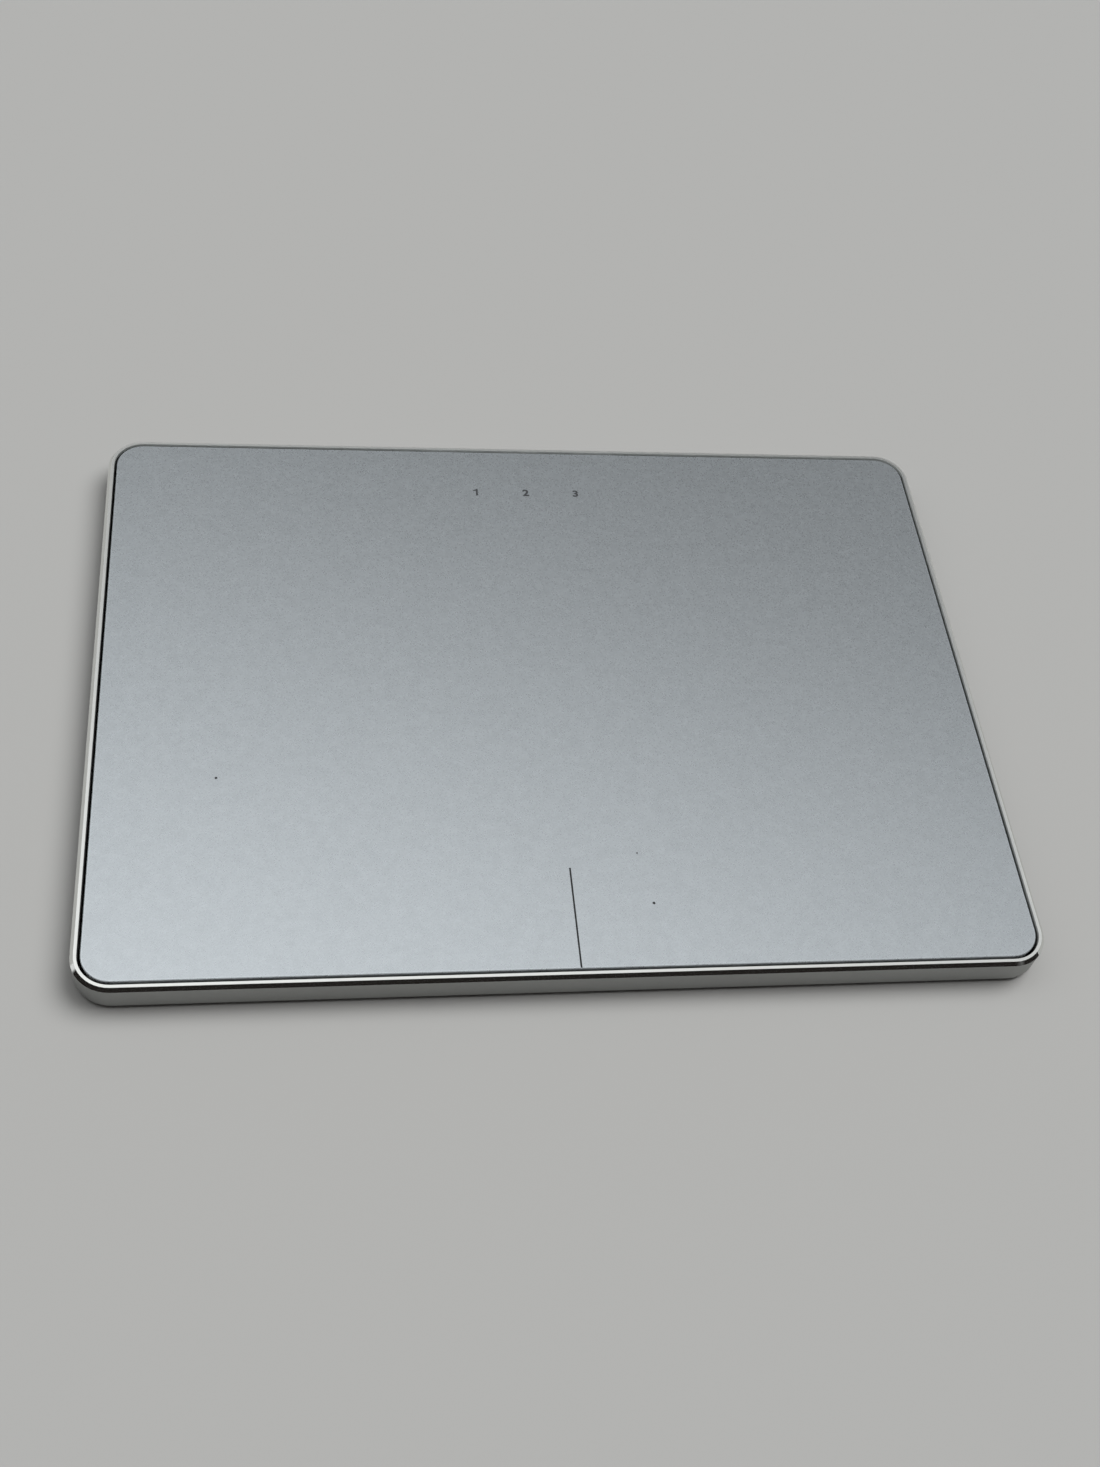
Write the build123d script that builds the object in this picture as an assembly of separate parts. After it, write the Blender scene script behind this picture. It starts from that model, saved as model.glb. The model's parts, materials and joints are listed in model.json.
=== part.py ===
"""Slim wireless trackpad: an aluminium rim round a touch plate that clicks down at its front edge.

Millimetres. +X to the right, +Y to the rear, +Z up. The origin is the middle of the footprint, on the table.
"""
import os

from build123d import *

# Case
OVERALL_WIDTH = 162.0
OVERALL_DEPTH = 120.0
OVERALL_HEIGHT = 6.0
CORNER_RADIUS = 6.6
FOOT_STANDOFF = 0.8
CUT_OVERRUN = 0.5

# Rim
RIM_WALL = 1.1
RIM_TOP_CHAMFER = 0.6
RIM_LOWER_CHAMFER = 0.2
FLANGE_WIDTH = 2.5
FLANGE_THICKNESS = 0.7
FLANGE_DROP = 0.7
FLANGE_REAR_GAP = 50.0
LUG_WIDTH = 3.6
BOARD_LUG_RISE = 0.5
SCREW_INSET = 4.0
PORT_CLEARANCE = 0.15

# Touch plate, from the glass down
PLATE_GAP = 0.54
GLASS_THICKNESS = 0.7
GLASS_BEVEL = 0.12
DIVIDER_LENGTH = 19.0
DIVIDER_WIDTH = 0.3
DIVIDER_DEPTH = 0.06
ADHESIVE_THICKNESS = 0.1
ADHESIVE_INSET = 0.5
SENSOR_THICKNESS = 0.6
SUPPORT_THICKNESS = 0.4
STACK_INSET = 0.6
WINDOW_CLEARANCE = 0.8
LIGHTENING_BAR = 6.0
LIGHTENING_CHAMFER = 3.0
LIGHTENING_SIDE_MARGIN = 12.0
LIGHTENING_FRONT_MARGIN = 21.0
LIGHTENING_REAR_MARGIN = 5.0
LIGHTENING_COLUMNS = 5
LIGHTENING_ROWS = 2

# Channel numbers and their lights
DIGIT_PITCH = 10.0
DIGIT_SETBACK = 11.0
LED_WIDTH = 1.6
LED_DEPTH = 0.8
LED_HEIGHT = 0.6
GUIDE_POST_WIDTH = 1.6
GUIDE_HOLE_CLEARANCE = 0.2
GUIDE_BAR_THICKNESS = 0.4
GUIDE_BAR_DEPTH = 2.6
GUIDE_BAR_MARGIN = 1.5

# Touch electronics on the underside of the sensor board
CONTROLLER_SIZE = 8.0
CONTROLLER_HEIGHT = 0.9
FLEX_PLUG_WIDTH = 11.0
FLEX_PLUG_DEPTH = 3.2
FLEX_PLUG_HEIGHT = 0.9
FLEX_PLUG_LEAD = 7.0
RIBBON_WIDTH = 9.0
RIBBON_THICKNESS = 0.15
RIBBON_GRIP = 1.0
RIBBON_LEVEL_SHARE = 0.35
RIBBON_SLOT_CLEARANCE = 0.1
RIBBON_STRAIGHT = 1.0

# Spring leaves that carry the rear of the touch plate
LEAF_SPACING = 92.0
LEAF_WIDTH = 12.0
LEAF_THICKNESS = 0.25
LEAF_PAD_DEPTH = 8.4
LEAF_PAD_MARGIN = 1.0
LEAF_REAR_MARGIN = 1.4
LEAF_SPAN = 6.0
LEAF_GRIP = 6.5
LEAF_JOGGLE = 3.0
LEAF_WINDOW_WIDTH = 4.4
LEAF_WINDOW_MARGIN = 0.8
LEAF_END_CHAMFER = 1.2
LEAF_PIP_WIDTH = 1.2
LEAF_PIP_OFFSET = 3.6
LEAF_PIP_CLEARANCE = 0.05
NUT_WIDTH = 3.0
NUT_HEIGHT = 0.7
STOP_PAD_LENGTH = 10.0
STOP_PAD_DEPTH = 1.6
STOP_PAD_HEIGHT = 0.35

# Click switch
SWITCH_INSET = 10.9
SWITCH_SIZE = 4.8
SWITCH_HEIGHT = 1.3
SWITCH_LID = 0.35
SWITCH_FLOOR = 0.3
SWITCH_CAVITY_RADIUS = 1.7
PLUNGER_RADIUS = 1.0
PLUNGER_HEAD_RADIUS = 1.5
PLUNGER_HEAD_HEIGHT = 0.2
PLUNGER_REACH = 0.5
PLUNGER_CLEARANCE = 0.1
DOME_THICKNESS = 0.08
PRESS_GAP = 0.03
PRESS_BOSS_RADIUS = 2.6
PRESS_RIB_LENGTH = 14.0

# Screws
SCREW_RADIUS = 0.6
SCREW_HEAD_RADIUS = 1.25
SCREW_HEAD_HEIGHT = 0.55
SCREW_CLEARANCE = 0.1
THREAD_CLEARANCE = 0.02
THREAD_END_GAP = 0.3
FLAT_HEAD_RADIUS = 1.1
FLAT_HEAD_HEIGHT = 0.35

# Bottom cover
COVER_THICKNESS = 0.8
COVER_CLEARANCE = 0.1
COVER_EDGE_CHAMFER = 0.2
RIB_WIDTH = 0.8
RIB_HEIGHT = 0.9
RIB_COUNT = 4
RIB_BATTERY_MARGIN = 6.5
RIB_SIDE_MARGIN = 12.4
RIB_FRONT_MARGIN = 9.0
RIB_REAR_MARGIN = 4.0
FENCE_WALL = 0.8
FENCE_HEIGHT = 1.4
FENCE_CLEARANCE = 0.3
FENCE_CORNER_GAP = 8.0

# Clips that hold the cover's front edge to the rim's flange
CLIP_SPACING = 64.0
CLIP_WIDTH = 6.0
CLIP_THICKNESS = 0.8
CLIP_CLEARANCE = 0.05
HOOK_REACH = 0.6
HOOK_THICKNESS = 0.3

# Feet
FOOT_LENGTH = 22.0
FOOT_WIDTH = 6.0
FOOT_INSET_X = 19.0
FOOT_INSET_Y = 10.0

# Main board
BOARD_WIDTH = 68.0
BOARD_DEPTH = 24.4
BOARD_THICKNESS = 0.8
BOARD_CORNER_RADIUS = 1.0
BOARD_REAR_MARGIN = 1.5
BOARD_SCREW_MARGIN = 4.0
BOARD_SCREW_INSET = 3.1
BOARD_REST_WIDTH = 1.2
BOARD_REST_LENGTH = 14.0
BOARD_REST_INSET = 14.0
SHIELD_WIDTH = 12.0
SHIELD_DEPTH = 10.0
SHIELD_HEIGHT = 1.1
SHIELD_SHEET = 0.15
SHIELD_SIDE_MARGIN = 4.0
SHIELD_FRONT_MARGIN = 3.0
RADIO_CHIP_SIZE = 6.0
RADIO_CHIP_HEIGHT = 0.7
ANTENNA_LENGTH = 5.0
ANTENNA_WIDTH = 2.0
ANTENNA_HEIGHT = 1.0
ANTENNA_SIDE_MARGIN = 2.0
ANTENNA_SETBACK = 7.9
POWER_CHIP_SIZE = 4.0
POWER_CHIP_HEIGHT = 0.9
POWER_CHIP_INSET = 12.0
SOCKET_SETBACK = 0.6

# Battery
BATTERY_WIDTH = 80.0
BATTERY_HEIGHT = 2.2
BATTERY_EDGE_RADIUS = 0.9
BATTERY_FRONT_SPACE = 25.9
BATTERY_REAR_SPACE = 16.0
BATTERY_TAPE_THICKNESS = 0.1
BATTERY_TAPE_WIDTH = 12.0
BATTERY_TAPE_INSET = 5.0
BATTERY_TAPE_END_MARGIN = 10.0
BATTERY_CIRCUIT_WIDTH = 30.0
BATTERY_CIRCUIT_DEPTH = 3.5
BATTERY_CIRCUIT_HEIGHT = 1.4
BATTERY_CIRCUIT_OVERHANG = 4.0
BATTERY_PLUG_WIDTH = 5.0
BATTERY_PLUG_DEPTH = 3.6
BATTERY_PLUG_HEIGHT = 1.2
BATTERY_PLUG_INSET = 8.0
LEAD_WIDTH = 4.0
LEAD_THICKNESS = 0.2
LEAD_STRAIGHT = 1.5

# Charging socket
USB_SHELL_WIDTH = 8.94
USB_SHELL_HEIGHT = 3.16
USB_SHELL_WALL = 0.3
USB_SHELL_LENGTH = 7.3
USB_RECESS = 0.4
USB_FLOOR_CLEARANCE = 0.1
USB_WING_REACH = 1.2
USB_WING_WIDTH = 1.4
USB_WING_THICKNESS = 0.3
USB_WING_SPACING = 3.2
USB_TONGUE_WIDTH = 6.69
USB_TONGUE_THICKNESS = 0.7
USB_TONGUE_SETBACK = 1.0
USB_BASE_LENGTH = 1.9
USB_BOARD_CLEARANCE = 0.15
USB_NOTCH_CLEARANCE = 0.5

# Controls in the rear wall
CONTROL_SPACING = 32.0
CONTROL_HEIGHT = 1.5
CONTROL_SKIRT = 0.6
CONTROL_SKIRT_GAP = 0.15
CONTROL_SKIRT_OVERLAP = 0.35
CONTROL_LEVEL = 0.6
SLIDER_LENGTH = 3.0
SLIDER_TRAVEL = 2.0
SLIDER_RECESS = 0.2
SLIDER_RIDGE_WIDTH = 0.3
SLIDER_RIDGE_PITCH = 0.8
SLIDER_RIDGE_DEPTH = 0.2
SLIDER_RIDGES = 3
BUTTON_LENGTH = 5.0
BUTTON_TRAVEL = 0.3
BUTTON_RECESS = 0.1
REAR_SWITCH_MARGIN = 0.2
POWER_SWITCH_WIDTH = 6.6
POWER_SWITCH_DEPTH = 2.6
POWER_SWITCH_HEIGHT = 1.2
LEVER_WIDTH = 1.2
LEVER_HEIGHT = 0.6
LEVER_ROOT = 1.4
LEVER_TIP = 0.25
LEVER_CLEARANCE = 0.1
CHANNEL_SWITCH_WIDTH = 4.6
CHANNEL_SWITCH_DEPTH = 2.4
CHANNEL_SWITCH_HEIGHT = 1.2
STEM_WIDTH = 1.6
STEM_HEIGHT = 0.7
STEM_ROOT = 0.6

# Levels
case_bottom = FOOT_STANDOFF
cover_top = case_bottom + COVER_THICKNESS
glass_bottom = OVERALL_HEIGHT - GLASS_THICKNESS
adhesive_bottom = glass_bottom - ADHESIVE_THICKNESS
sensor_bottom = adhesive_bottom - SENSOR_THICKNESS
support_bottom = sensor_bottom - SUPPORT_THICKNESS
flange_top = support_bottom - FLANGE_DROP
flange_bottom = flange_top - FLANGE_THICKNESS
board_top = flange_bottom
board_bottom = board_top - BOARD_THICKNESS
board_lug_top = flange_top + BOARD_LUG_RISE
sensor_plug_bottom = sensor_bottom - FLEX_PLUG_HEIGHT
ribbon_high = sensor_plug_bottom + FLEX_PLUG_HEIGHT * RIBBON_LEVEL_SHARE
ribbon_low = board_top + FLEX_PLUG_HEIGHT * RIBBON_LEVEL_SHARE

# Plan of the rim opening and of the plate
opening_width = OVERALL_WIDTH - 2 * RIM_WALL
opening_depth = OVERALL_DEPTH - 2 * RIM_WALL
opening_radius = CORNER_RADIUS - RIM_WALL
glass_width = opening_width - 2 * PLATE_GAP
glass_depth = opening_depth - 2 * PLATE_GAP
glass_radius = opening_radius - PLATE_GAP
wall_face_y = opening_depth / 2
rear_face_y = OVERALL_DEPTH / 2

# Spring leaves and the hinge line half way along their free span
leaf_xs = [side * LEAF_SPACING / 2 for side in (-1, 1)]
leaf_rear_y = wall_face_y - LEAF_REAR_MARGIN
pad_front_y = wall_face_y - LEAF_PAD_DEPTH
hinge_y = pad_front_y - LEAF_SPAN / 2
leaf_clamp_y = pad_front_y - LEAF_SPAN
leaf_front_y = leaf_clamp_y - LEAF_GRIP
nut_y = (leaf_rear_y + pad_front_y) / 2
nut_bottom = flange_top + LEAF_THICKNESS
nut_top = nut_bottom + NUT_HEIGHT

# Click switch
switch_y = SWITCH_INSET - glass_depth / 2
switch_bottom = sensor_bottom - SWITCH_HEIGHT
cavity_floor = switch_bottom + SWITCH_FLOOR
cavity_roof = sensor_bottom - SWITCH_LID
plunger_bottom = switch_bottom - PLUNGER_REACH
plunger_top = cavity_floor + PLUNGER_CLEARANCE + PLUNGER_HEAD_HEIGHT

# Main board
board_rear_y = wall_face_y - BOARD_REAR_MARGIN
board_front_y = board_rear_y - BOARD_DEPTH
board_centre_y = (board_rear_y + board_front_y) / 2
board_screw_xs = [side * (BOARD_WIDTH / 2 - BOARD_SCREW_MARGIN) for side in (-1, 1)]
board_screw_y = wall_face_y - BOARD_SCREW_INSET
board_socket_y = board_front_y + SOCKET_SETBACK + FLEX_PLUG_DEPTH / 2
battery_socket_y = board_front_y + SOCKET_SETBACK + BATTERY_PLUG_DEPTH / 2
sensor_plug_y = board_front_y - FLEX_PLUG_LEAD
digit_y = glass_depth / 2 - DIGIT_SETBACK
digit_xs = [step * DIGIT_PITCH for step in (-1, 0, 1)]
shield_x = SHIELD_SIDE_MARGIN + (SHIELD_WIDTH - BOARD_WIDTH) / 2
shield_y = board_front_y + SHIELD_FRONT_MARGIN + SHIELD_DEPTH / 2
antenna_x = ANTENNA_SIDE_MARGIN + (ANTENNA_LENGTH - BOARD_WIDTH) / 2
antenna_y = board_rear_y - ANTENNA_SETBACK
power_chip_x = BOARD_WIDTH / 2 - POWER_CHIP_INSET
battery_plug_x = BOARD_WIDTH / 2 - BATTERY_PLUG_INSET

# Battery
battery_bottom = cover_top + BATTERY_TAPE_THICKNESS
battery_rear_y = board_front_y - BATTERY_REAR_SPACE
battery_front_y = BATTERY_FRONT_SPACE - wall_face_y
battery_depth = battery_rear_y - battery_front_y
battery_centre_y = (battery_rear_y + battery_front_y) / 2
circuit_rear_y = battery_rear_y + BATTERY_CIRCUIT_DEPTH
circuit_x = battery_plug_x + BATTERY_CIRCUIT_OVERHANG - BATTERY_CIRCUIT_WIDTH / 2

# Charging socket
usb_level = cover_top + USB_FLOOR_CLEARANCE + USB_SHELL_HEIGHT / 2
usb_mouth_y = rear_face_y - USB_RECESS
usb_back_y = usb_mouth_y - USB_SHELL_LENGTH

# Rear controls
control_level = board_top + CONTROL_LEVEL
slider_x = CONTROL_SPACING / 2
button_x = -CONTROL_SPACING / 2
slider_rest_x = slider_x - SLIDER_TRAVEL / 2
skirt_rear_y = wall_face_y - CONTROL_SKIRT_GAP
skirt_front_y = skirt_rear_y - CONTROL_SKIRT
rear_switch_face_y = board_rear_y - REAR_SWITCH_MARGIN

# Screws at the cover's corners and clips along its front edge
screw_x = OVERALL_WIDTH / 2 - SCREW_INSET
screw_y = OVERALL_DEPTH / 2 - SCREW_INSET
leaf_pad_width = LEAF_WIDTH + 2 * LEAF_PAD_MARGIN
cover_screw_places = [(x, y) for x in (-screw_x, screw_x) for y in (-screw_y, screw_y)]
cover_screw_top = flange_top - THREAD_END_GAP
clip_xs = [side * CLIP_SPACING / 2 for side in (-1, 1)]
stop_pad_x = (screw_x + CLIP_SPACING / 2) / 2

# Grid of windows in the support plate; the touch chip hangs in the last one
grid_front_y = LIGHTENING_FRONT_MARGIN - glass_depth / 2
grid_rear_y = sensor_plug_y - LIGHTENING_REAR_MARGIN
grid_left_x = LIGHTENING_SIDE_MARGIN - glass_width / 2
window_width = (-2 * grid_left_x - (LIGHTENING_COLUMNS - 1) * LIGHTENING_BAR) / LIGHTENING_COLUMNS
window_depth = (grid_rear_y - grid_front_y - (LIGHTENING_ROWS - 1) * LIGHTENING_BAR) / LIGHTENING_ROWS
window_xs = [grid_left_x + window_width / 2 + step * (window_width + LIGHTENING_BAR)
             for step in range(LIGHTENING_COLUMNS)]
window_ys = [grid_front_y + window_depth / 2 + step * (window_depth + LIGHTENING_BAR)
             for step in range(LIGHTENING_ROWS)]
controller_x = window_xs[-1]
controller_y = window_ys[-1]


def slab(width, depth, radius, bottom, top):
    """Plate with rounded corners, centred on the origin, between two levels."""
    return Pos(0, 0, bottom) * extrude(RectangleRounded(width, depth, radius), top - bottom)


def block(width, depth, bottom, top, x=0, y=0):
    """Rectangular block between two levels."""
    return Pos(x, y, (bottom + top) / 2) * Box(width, depth, top - bottom)


def post(radius, bottom, top, x=0, y=0):
    """Upright cylinder between two levels."""
    return Pos(x, y, (bottom + top) / 2) * Cylinder(radius, top - bottom)


def stadium(width, height, front_y, rear_y, x, level):
    """Round-ended bar that runs front to rear."""
    section = Plane(origin=(x, front_y, level), x_dir=(1, 0, 0), z_dir=(0, 1, 0)) * SlotOverall(width, height)
    return extrude(section, rear_y - front_y)


def fuse_all(solids):
    """One solid from several that touch or overlap."""
    fused = solids[0]
    for solid in solids[1:]:
        fused += solid
    return fused


def cut_all(body, tools):
    """A body less every tool."""
    for tool in tools:
        body -= tool
    return body


def level_edges(body, level):
    """Edges that lie wholly at one level."""
    return body.edges().filter_by_position(Axis.Z, level, level)


def control_slot(length, x):
    """Cutter for a rear control's slot, through the rim wall."""
    width = length + 2 * PORT_CLEARANCE
    height = CONTROL_HEIGHT + 2 * PORT_CLEARANCE
    return stadium(width, height, wall_face_y - CUT_OVERRUN, rear_face_y + CUT_OVERRUN, x, control_level)


def rim_frame():
    """Machined rim with its inner flange, screw lugs, hinge pads, clip rests and rear openings."""
    rim = slab(OVERALL_WIDTH, OVERALL_DEPTH, CORNER_RADIUS, case_bottom, OVERALL_HEIGHT)
    rim = chamfer(level_edges(rim, OVERALL_HEIGHT), RIM_TOP_CHAMFER)
    rim = chamfer(level_edges(rim, case_bottom), RIM_LOWER_CHAMFER)
    rim -= slab(opening_width, opening_depth, opening_radius, case_bottom - CUT_OVERRUN, OVERALL_HEIGHT + CUT_OVERRUN)
    bore_width = opening_width - 2 * FLANGE_WIDTH
    bore_depth = opening_depth - 2 * FLANGE_WIDTH
    flange = slab(opening_width, opening_depth, opening_radius, flange_bottom, flange_top)
    flange -= slab(bore_width, bore_depth, opening_radius - FLANGE_WIDTH, flange_bottom - CUT_OVERRUN,
                   flange_top + CUT_OVERRUN)
    flange -= block(FLANGE_REAR_GAP, 2 * FLANGE_WIDTH, flange_bottom - CUT_OVERRUN, flange_top + CUT_OVERRUN,
                    y=wall_face_y)
    pads = [block(leaf_pad_width, LEAF_PAD_DEPTH, flange_bottom, flange_top, x, wall_face_y - LEAF_PAD_DEPTH / 2)
            for x in leaf_xs]
    pips = [block(LEAF_PIP_WIDTH, LEAF_PIP_WIDTH, flange_top, nut_bottom, x + side * LEAF_PIP_OFFSET, nut_y)
            for x in leaf_xs for side in (-1, 1)]
    lugs = [block(LUG_WIDTH, LUG_WIDTH, cover_top, flange_top, x, y) for x, y in cover_screw_places]
    lugs += [block(LUG_WIDTH, LUG_WIDTH, flange_bottom, board_lug_top, x, board_screw_y) for x in board_screw_xs]
    rests = [block(CLIP_WIDTH, FLANGE_WIDTH, cover_top, flange_bottom, x, FLANGE_WIDTH / 2 - wall_face_y)
             for x in clip_xs]
    frame = fuse_all([rim, flange] + pads + pips + lugs + rests)
    tapped = SCREW_RADIUS + THREAD_CLEARANCE
    free = SCREW_RADIUS + SCREW_CLEARANCE
    holes = [post(tapped, cover_top - CUT_OVERRUN, flange_top + CUT_OVERRUN, x, y) for x, y in cover_screw_places]
    holes += [post(tapped, flange_bottom - CUT_OVERRUN, board_lug_top + CUT_OVERRUN, x, board_screw_y)
              for x in board_screw_xs]
    holes += [post(free, flange_bottom - CUT_OVERRUN, flange_top + CUT_OVERRUN, x, nut_y) for x in leaf_xs]
    holes += [control_slot(SLIDER_LENGTH + SLIDER_TRAVEL, slider_x), control_slot(BUTTON_LENGTH, button_x)]
    holes += [stadium(USB_SHELL_WIDTH + 2 * PORT_CLEARANCE, USB_SHELL_HEIGHT + 2 * PORT_CLEARANCE,
                      wall_face_y - CUT_OVERRUN, rear_face_y + CUT_OVERRUN, 0, usb_level)]
    return cut_all(frame, holes)


def foot_places():
    """Centres of the four feet."""
    foot_x = OVERALL_WIDTH / 2 - FOOT_INSET_X
    foot_y = OVERALL_DEPTH / 2 - FOOT_INSET_Y
    return [(x, y) for x in (-foot_x, foot_x) for y in (-foot_y, foot_y)]


def countersink(radius_gap):
    """Cone of a cover screw's head, widened by a gap."""
    head = SCREW_HEAD_RADIUS + radius_gap
    neck = SCREW_RADIUS + radius_gap
    return Pos(0, 0, case_bottom + SCREW_HEAD_HEIGHT / 2) * Cone(head, neck, SCREW_HEAD_HEIGHT)


def cover_ribs():
    """Stiffening ribs on both sides of the battery."""
    front_y = RIB_FRONT_MARGIN - wall_face_y
    rear_y = leaf_front_y - RIB_REAR_MARGIN
    inner_x = BATTERY_WIDTH / 2 + RIB_BATTERY_MARGIN
    outer_x = opening_width / 2 - RIB_SIDE_MARGIN
    pitch = (outer_x - inner_x) / (RIB_COUNT - 1)
    return [block(RIB_WIDTH, rear_y - front_y, cover_top, cover_top + RIB_HEIGHT, side * (inner_x + step * pitch),
                  (front_y + rear_y) / 2) for side in (-1, 1) for step in range(RIB_COUNT)]


def battery_fence():
    """Low rails round the battery, open at its corners and where its lead leaves."""
    top = cover_top + FENCE_HEIGHT
    side_x = BATTERY_WIDTH / 2 + FENCE_CLEARANCE + FENCE_WALL / 2
    side_length = battery_depth - 2 * FENCE_CORNER_GAP
    front_length = BATTERY_WIDTH - 2 * FENCE_CORNER_GAP
    front_y = battery_front_y - FENCE_CLEARANCE - FENCE_WALL / 2
    rear_y = battery_rear_y + FENCE_CLEARANCE + FENCE_WALL / 2
    rear_start = FENCE_CORNER_GAP - BATTERY_WIDTH / 2
    rear_end = circuit_x - BATTERY_CIRCUIT_WIDTH / 2 - FENCE_CLEARANCE
    rails = [block(FENCE_WALL, side_length, cover_top, top, side * side_x, battery_centre_y) for side in (-1, 1)]
    rails.append(block(front_length, FENCE_WALL, cover_top, top, 0, front_y))
    rails.append(block(rear_end - rear_start, FENCE_WALL, cover_top, top, (rear_end + rear_start) / 2, rear_y))
    return rails


def press_boss():
    """Post that the click switch presses on, with a short rib and a long one at its foot."""
    top = plunger_bottom - PRESS_GAP
    rib_top = cover_top + RIB_HEIGHT
    return [
        post(PRESS_BOSS_RADIUS, cover_top, top, 0, switch_y),
        block(CLIP_SPACING, RIB_WIDTH, cover_top, rib_top, 0, switch_y),
        block(RIB_WIDTH, PRESS_RIB_LENGTH, cover_top, rib_top, 0, switch_y),
    ]


def cover_clips():
    """Hooks that reach through the rim and over the front flange."""
    front_y = FLANGE_WIDTH + CLIP_CLEARANCE - wall_face_y
    rear_y = front_y + CLIP_THICKNESS
    hook_y = front_y - HOOK_REACH
    hook_top = flange_top + HOOK_THICKNESS
    stems = [block(CLIP_WIDTH, CLIP_THICKNESS, cover_top, hook_top, x, (front_y + rear_y) / 2) for x in clip_xs]
    hooks = [block(CLIP_WIDTH, rear_y - hook_y, flange_top, hook_top, x, (hook_y + rear_y) / 2) for x in clip_xs]
    return stems + hooks


def bottom_cover():
    """Moulded cover that closes the underside, clips in at the front and carries the battery and the press boss."""
    width = opening_width - 2 * COVER_CLEARANCE
    depth = opening_depth - 2 * COVER_CLEARANCE
    cover = slab(width, depth, opening_radius - COVER_CLEARANCE, case_bottom, cover_top)
    cover = chamfer(level_edges(cover, case_bottom), COVER_EDGE_CHAMFER)
    rest_x = BOARD_WIDTH / 2 - BOARD_REST_INSET
    rests = [block(BOARD_REST_LENGTH, BOARD_REST_WIDTH, cover_top, board_bottom, x,
                   board_front_y + BOARD_REST_WIDTH / 2) for x in (-rest_x, rest_x)]
    cover = fuse_all([cover] + cover_ribs() + battery_fence() + press_boss() + cover_clips() + rests)
    hole = post(SCREW_RADIUS + SCREW_CLEARANCE, case_bottom - CUT_OVERRUN, cover_top + CUT_OVERRUN)
    hole += countersink(SCREW_CLEARANCE)
    return cut_all(cover, [Pos(x, y, 0) * hole for x, y in cover_screw_places])


def cover_screws():
    """Countersunk corner screws, flush with the underside."""
    screw = countersink(0) + post(SCREW_RADIUS, case_bottom + SCREW_HEAD_HEIGHT, cover_screw_top)
    return [Pos(x, y, 0) * screw for x, y in cover_screw_places]


def flat_screw(seat, top):
    """Flat-headed screw driven from below, its head against a seat."""
    return post(FLAT_HEAD_RADIUS, seat - FLAT_HEAD_HEIGHT, seat) + post(SCREW_RADIUS, seat, top)


def rubber_feet():
    """Four feet bonded to the cover."""
    foot = extrude(SlotOverall(FOOT_LENGTH, FOOT_WIDTH), FOOT_STANDOFF)
    return [Pos(x, y, 0) * foot for x, y in foot_places()]


def touch_glass():
    """Cover plate with a bevelled edge and the thin groove that divides the click zones."""
    glass = slab(glass_width, glass_depth, glass_radius, glass_bottom, OVERALL_HEIGHT)
    glass = chamfer(level_edges(glass, OVERALL_HEIGHT), GLASS_BEVEL)
    groove_length = DIVIDER_LENGTH + CUT_OVERRUN
    groove_y = DIVIDER_LENGTH - glass_depth / 2 - groove_length / 2
    return glass - block(DIVIDER_WIDTH, groove_length, OVERALL_HEIGHT - DIVIDER_DEPTH, OVERALL_HEIGHT + CUT_OVERRUN,
                         0, groove_y)


def guide_holes(bottom, top):
    """Cutters for the light guide's posts."""
    width = GUIDE_POST_WIDTH + 2 * GUIDE_HOLE_CLEARANCE
    return [block(width, width, bottom - CUT_OVERRUN, top + CUT_OVERRUN, x, digit_y) for x in digit_xs]


def glass_adhesive():
    """Bonding film between the glass and the sensor board."""
    film = slab(glass_width - 2 * ADHESIVE_INSET, glass_depth - 2 * ADHESIVE_INSET, glass_radius - ADHESIVE_INSET,
                adhesive_bottom, glass_bottom)
    return cut_all(film, guide_holes(adhesive_bottom, glass_bottom))


def usb_notch(bottom, top):
    """Cutter that clears the charging socket at the rear of the plate."""
    half_width = USB_SHELL_WIDTH / 2 + USB_WING_REACH + USB_NOTCH_CLEARANCE
    front = usb_back_y - USB_NOTCH_CLEARANCE
    depth = rear_face_y - front
    return block(2 * half_width, depth, bottom - CUT_OVERRUN, top + CUT_OVERRUN, 0, front + depth / 2)


def stack_outline(bottom, top):
    """Layer of the moving stack under the adhesive, with the socket notch and light holes."""
    layer = slab(glass_width - 2 * STACK_INSET, glass_depth - 2 * STACK_INSET, glass_radius - STACK_INSET, bottom, top)
    return cut_all(layer, guide_holes(bottom, top) + [usb_notch(bottom, top)])


def sensor_board():
    """Circuit board that senses the fingers."""
    return stack_outline(sensor_bottom, adhesive_bottom)


def support_window(width, depth, x, y):
    """Cutter for a window in the support plate round a part of the given size."""
    return block(width + 2 * WINDOW_CLEARANCE, depth + 2 * WINDOW_CLEARANCE, support_bottom - CUT_OVERRUN,
                 sensor_bottom + CUT_OVERRUN, x, y)


def lightening_windows():
    """Grid of windows with cut corners that lightens the support plate."""
    outline = chamfer(Rectangle(window_width, window_depth).vertices(), LIGHTENING_CHAMFER)
    window = Pos(0, 0, support_bottom - CUT_OVERRUN) * extrude(outline, SUPPORT_THICKNESS + 2 * CUT_OVERRUN)
    return [Pos(x, y, 0) * window for x in window_xs for y in window_ys]


def support_plate():
    """Steel plate that stiffens the moving stack, with windows for what hangs below the sensor board."""
    plate = stack_outline(support_bottom, sensor_bottom)
    cuts = [support_window(FLEX_PLUG_WIDTH, FLEX_PLUG_DEPTH, 0, sensor_plug_y),
            support_window(SWITCH_SIZE, SWITCH_SIZE, 0, switch_y)]
    for x in leaf_xs:
        front = nut_y - NUT_WIDTH / 2 - WINDOW_CLEARANCE
        depth = rear_face_y - front
        cuts.append(block(leaf_pad_width, depth, support_bottom - CUT_OVERRUN, sensor_bottom + CUT_OVERRUN, x,
                          front + depth / 2))
    return cut_all(plate, cuts + lightening_windows())


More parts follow.
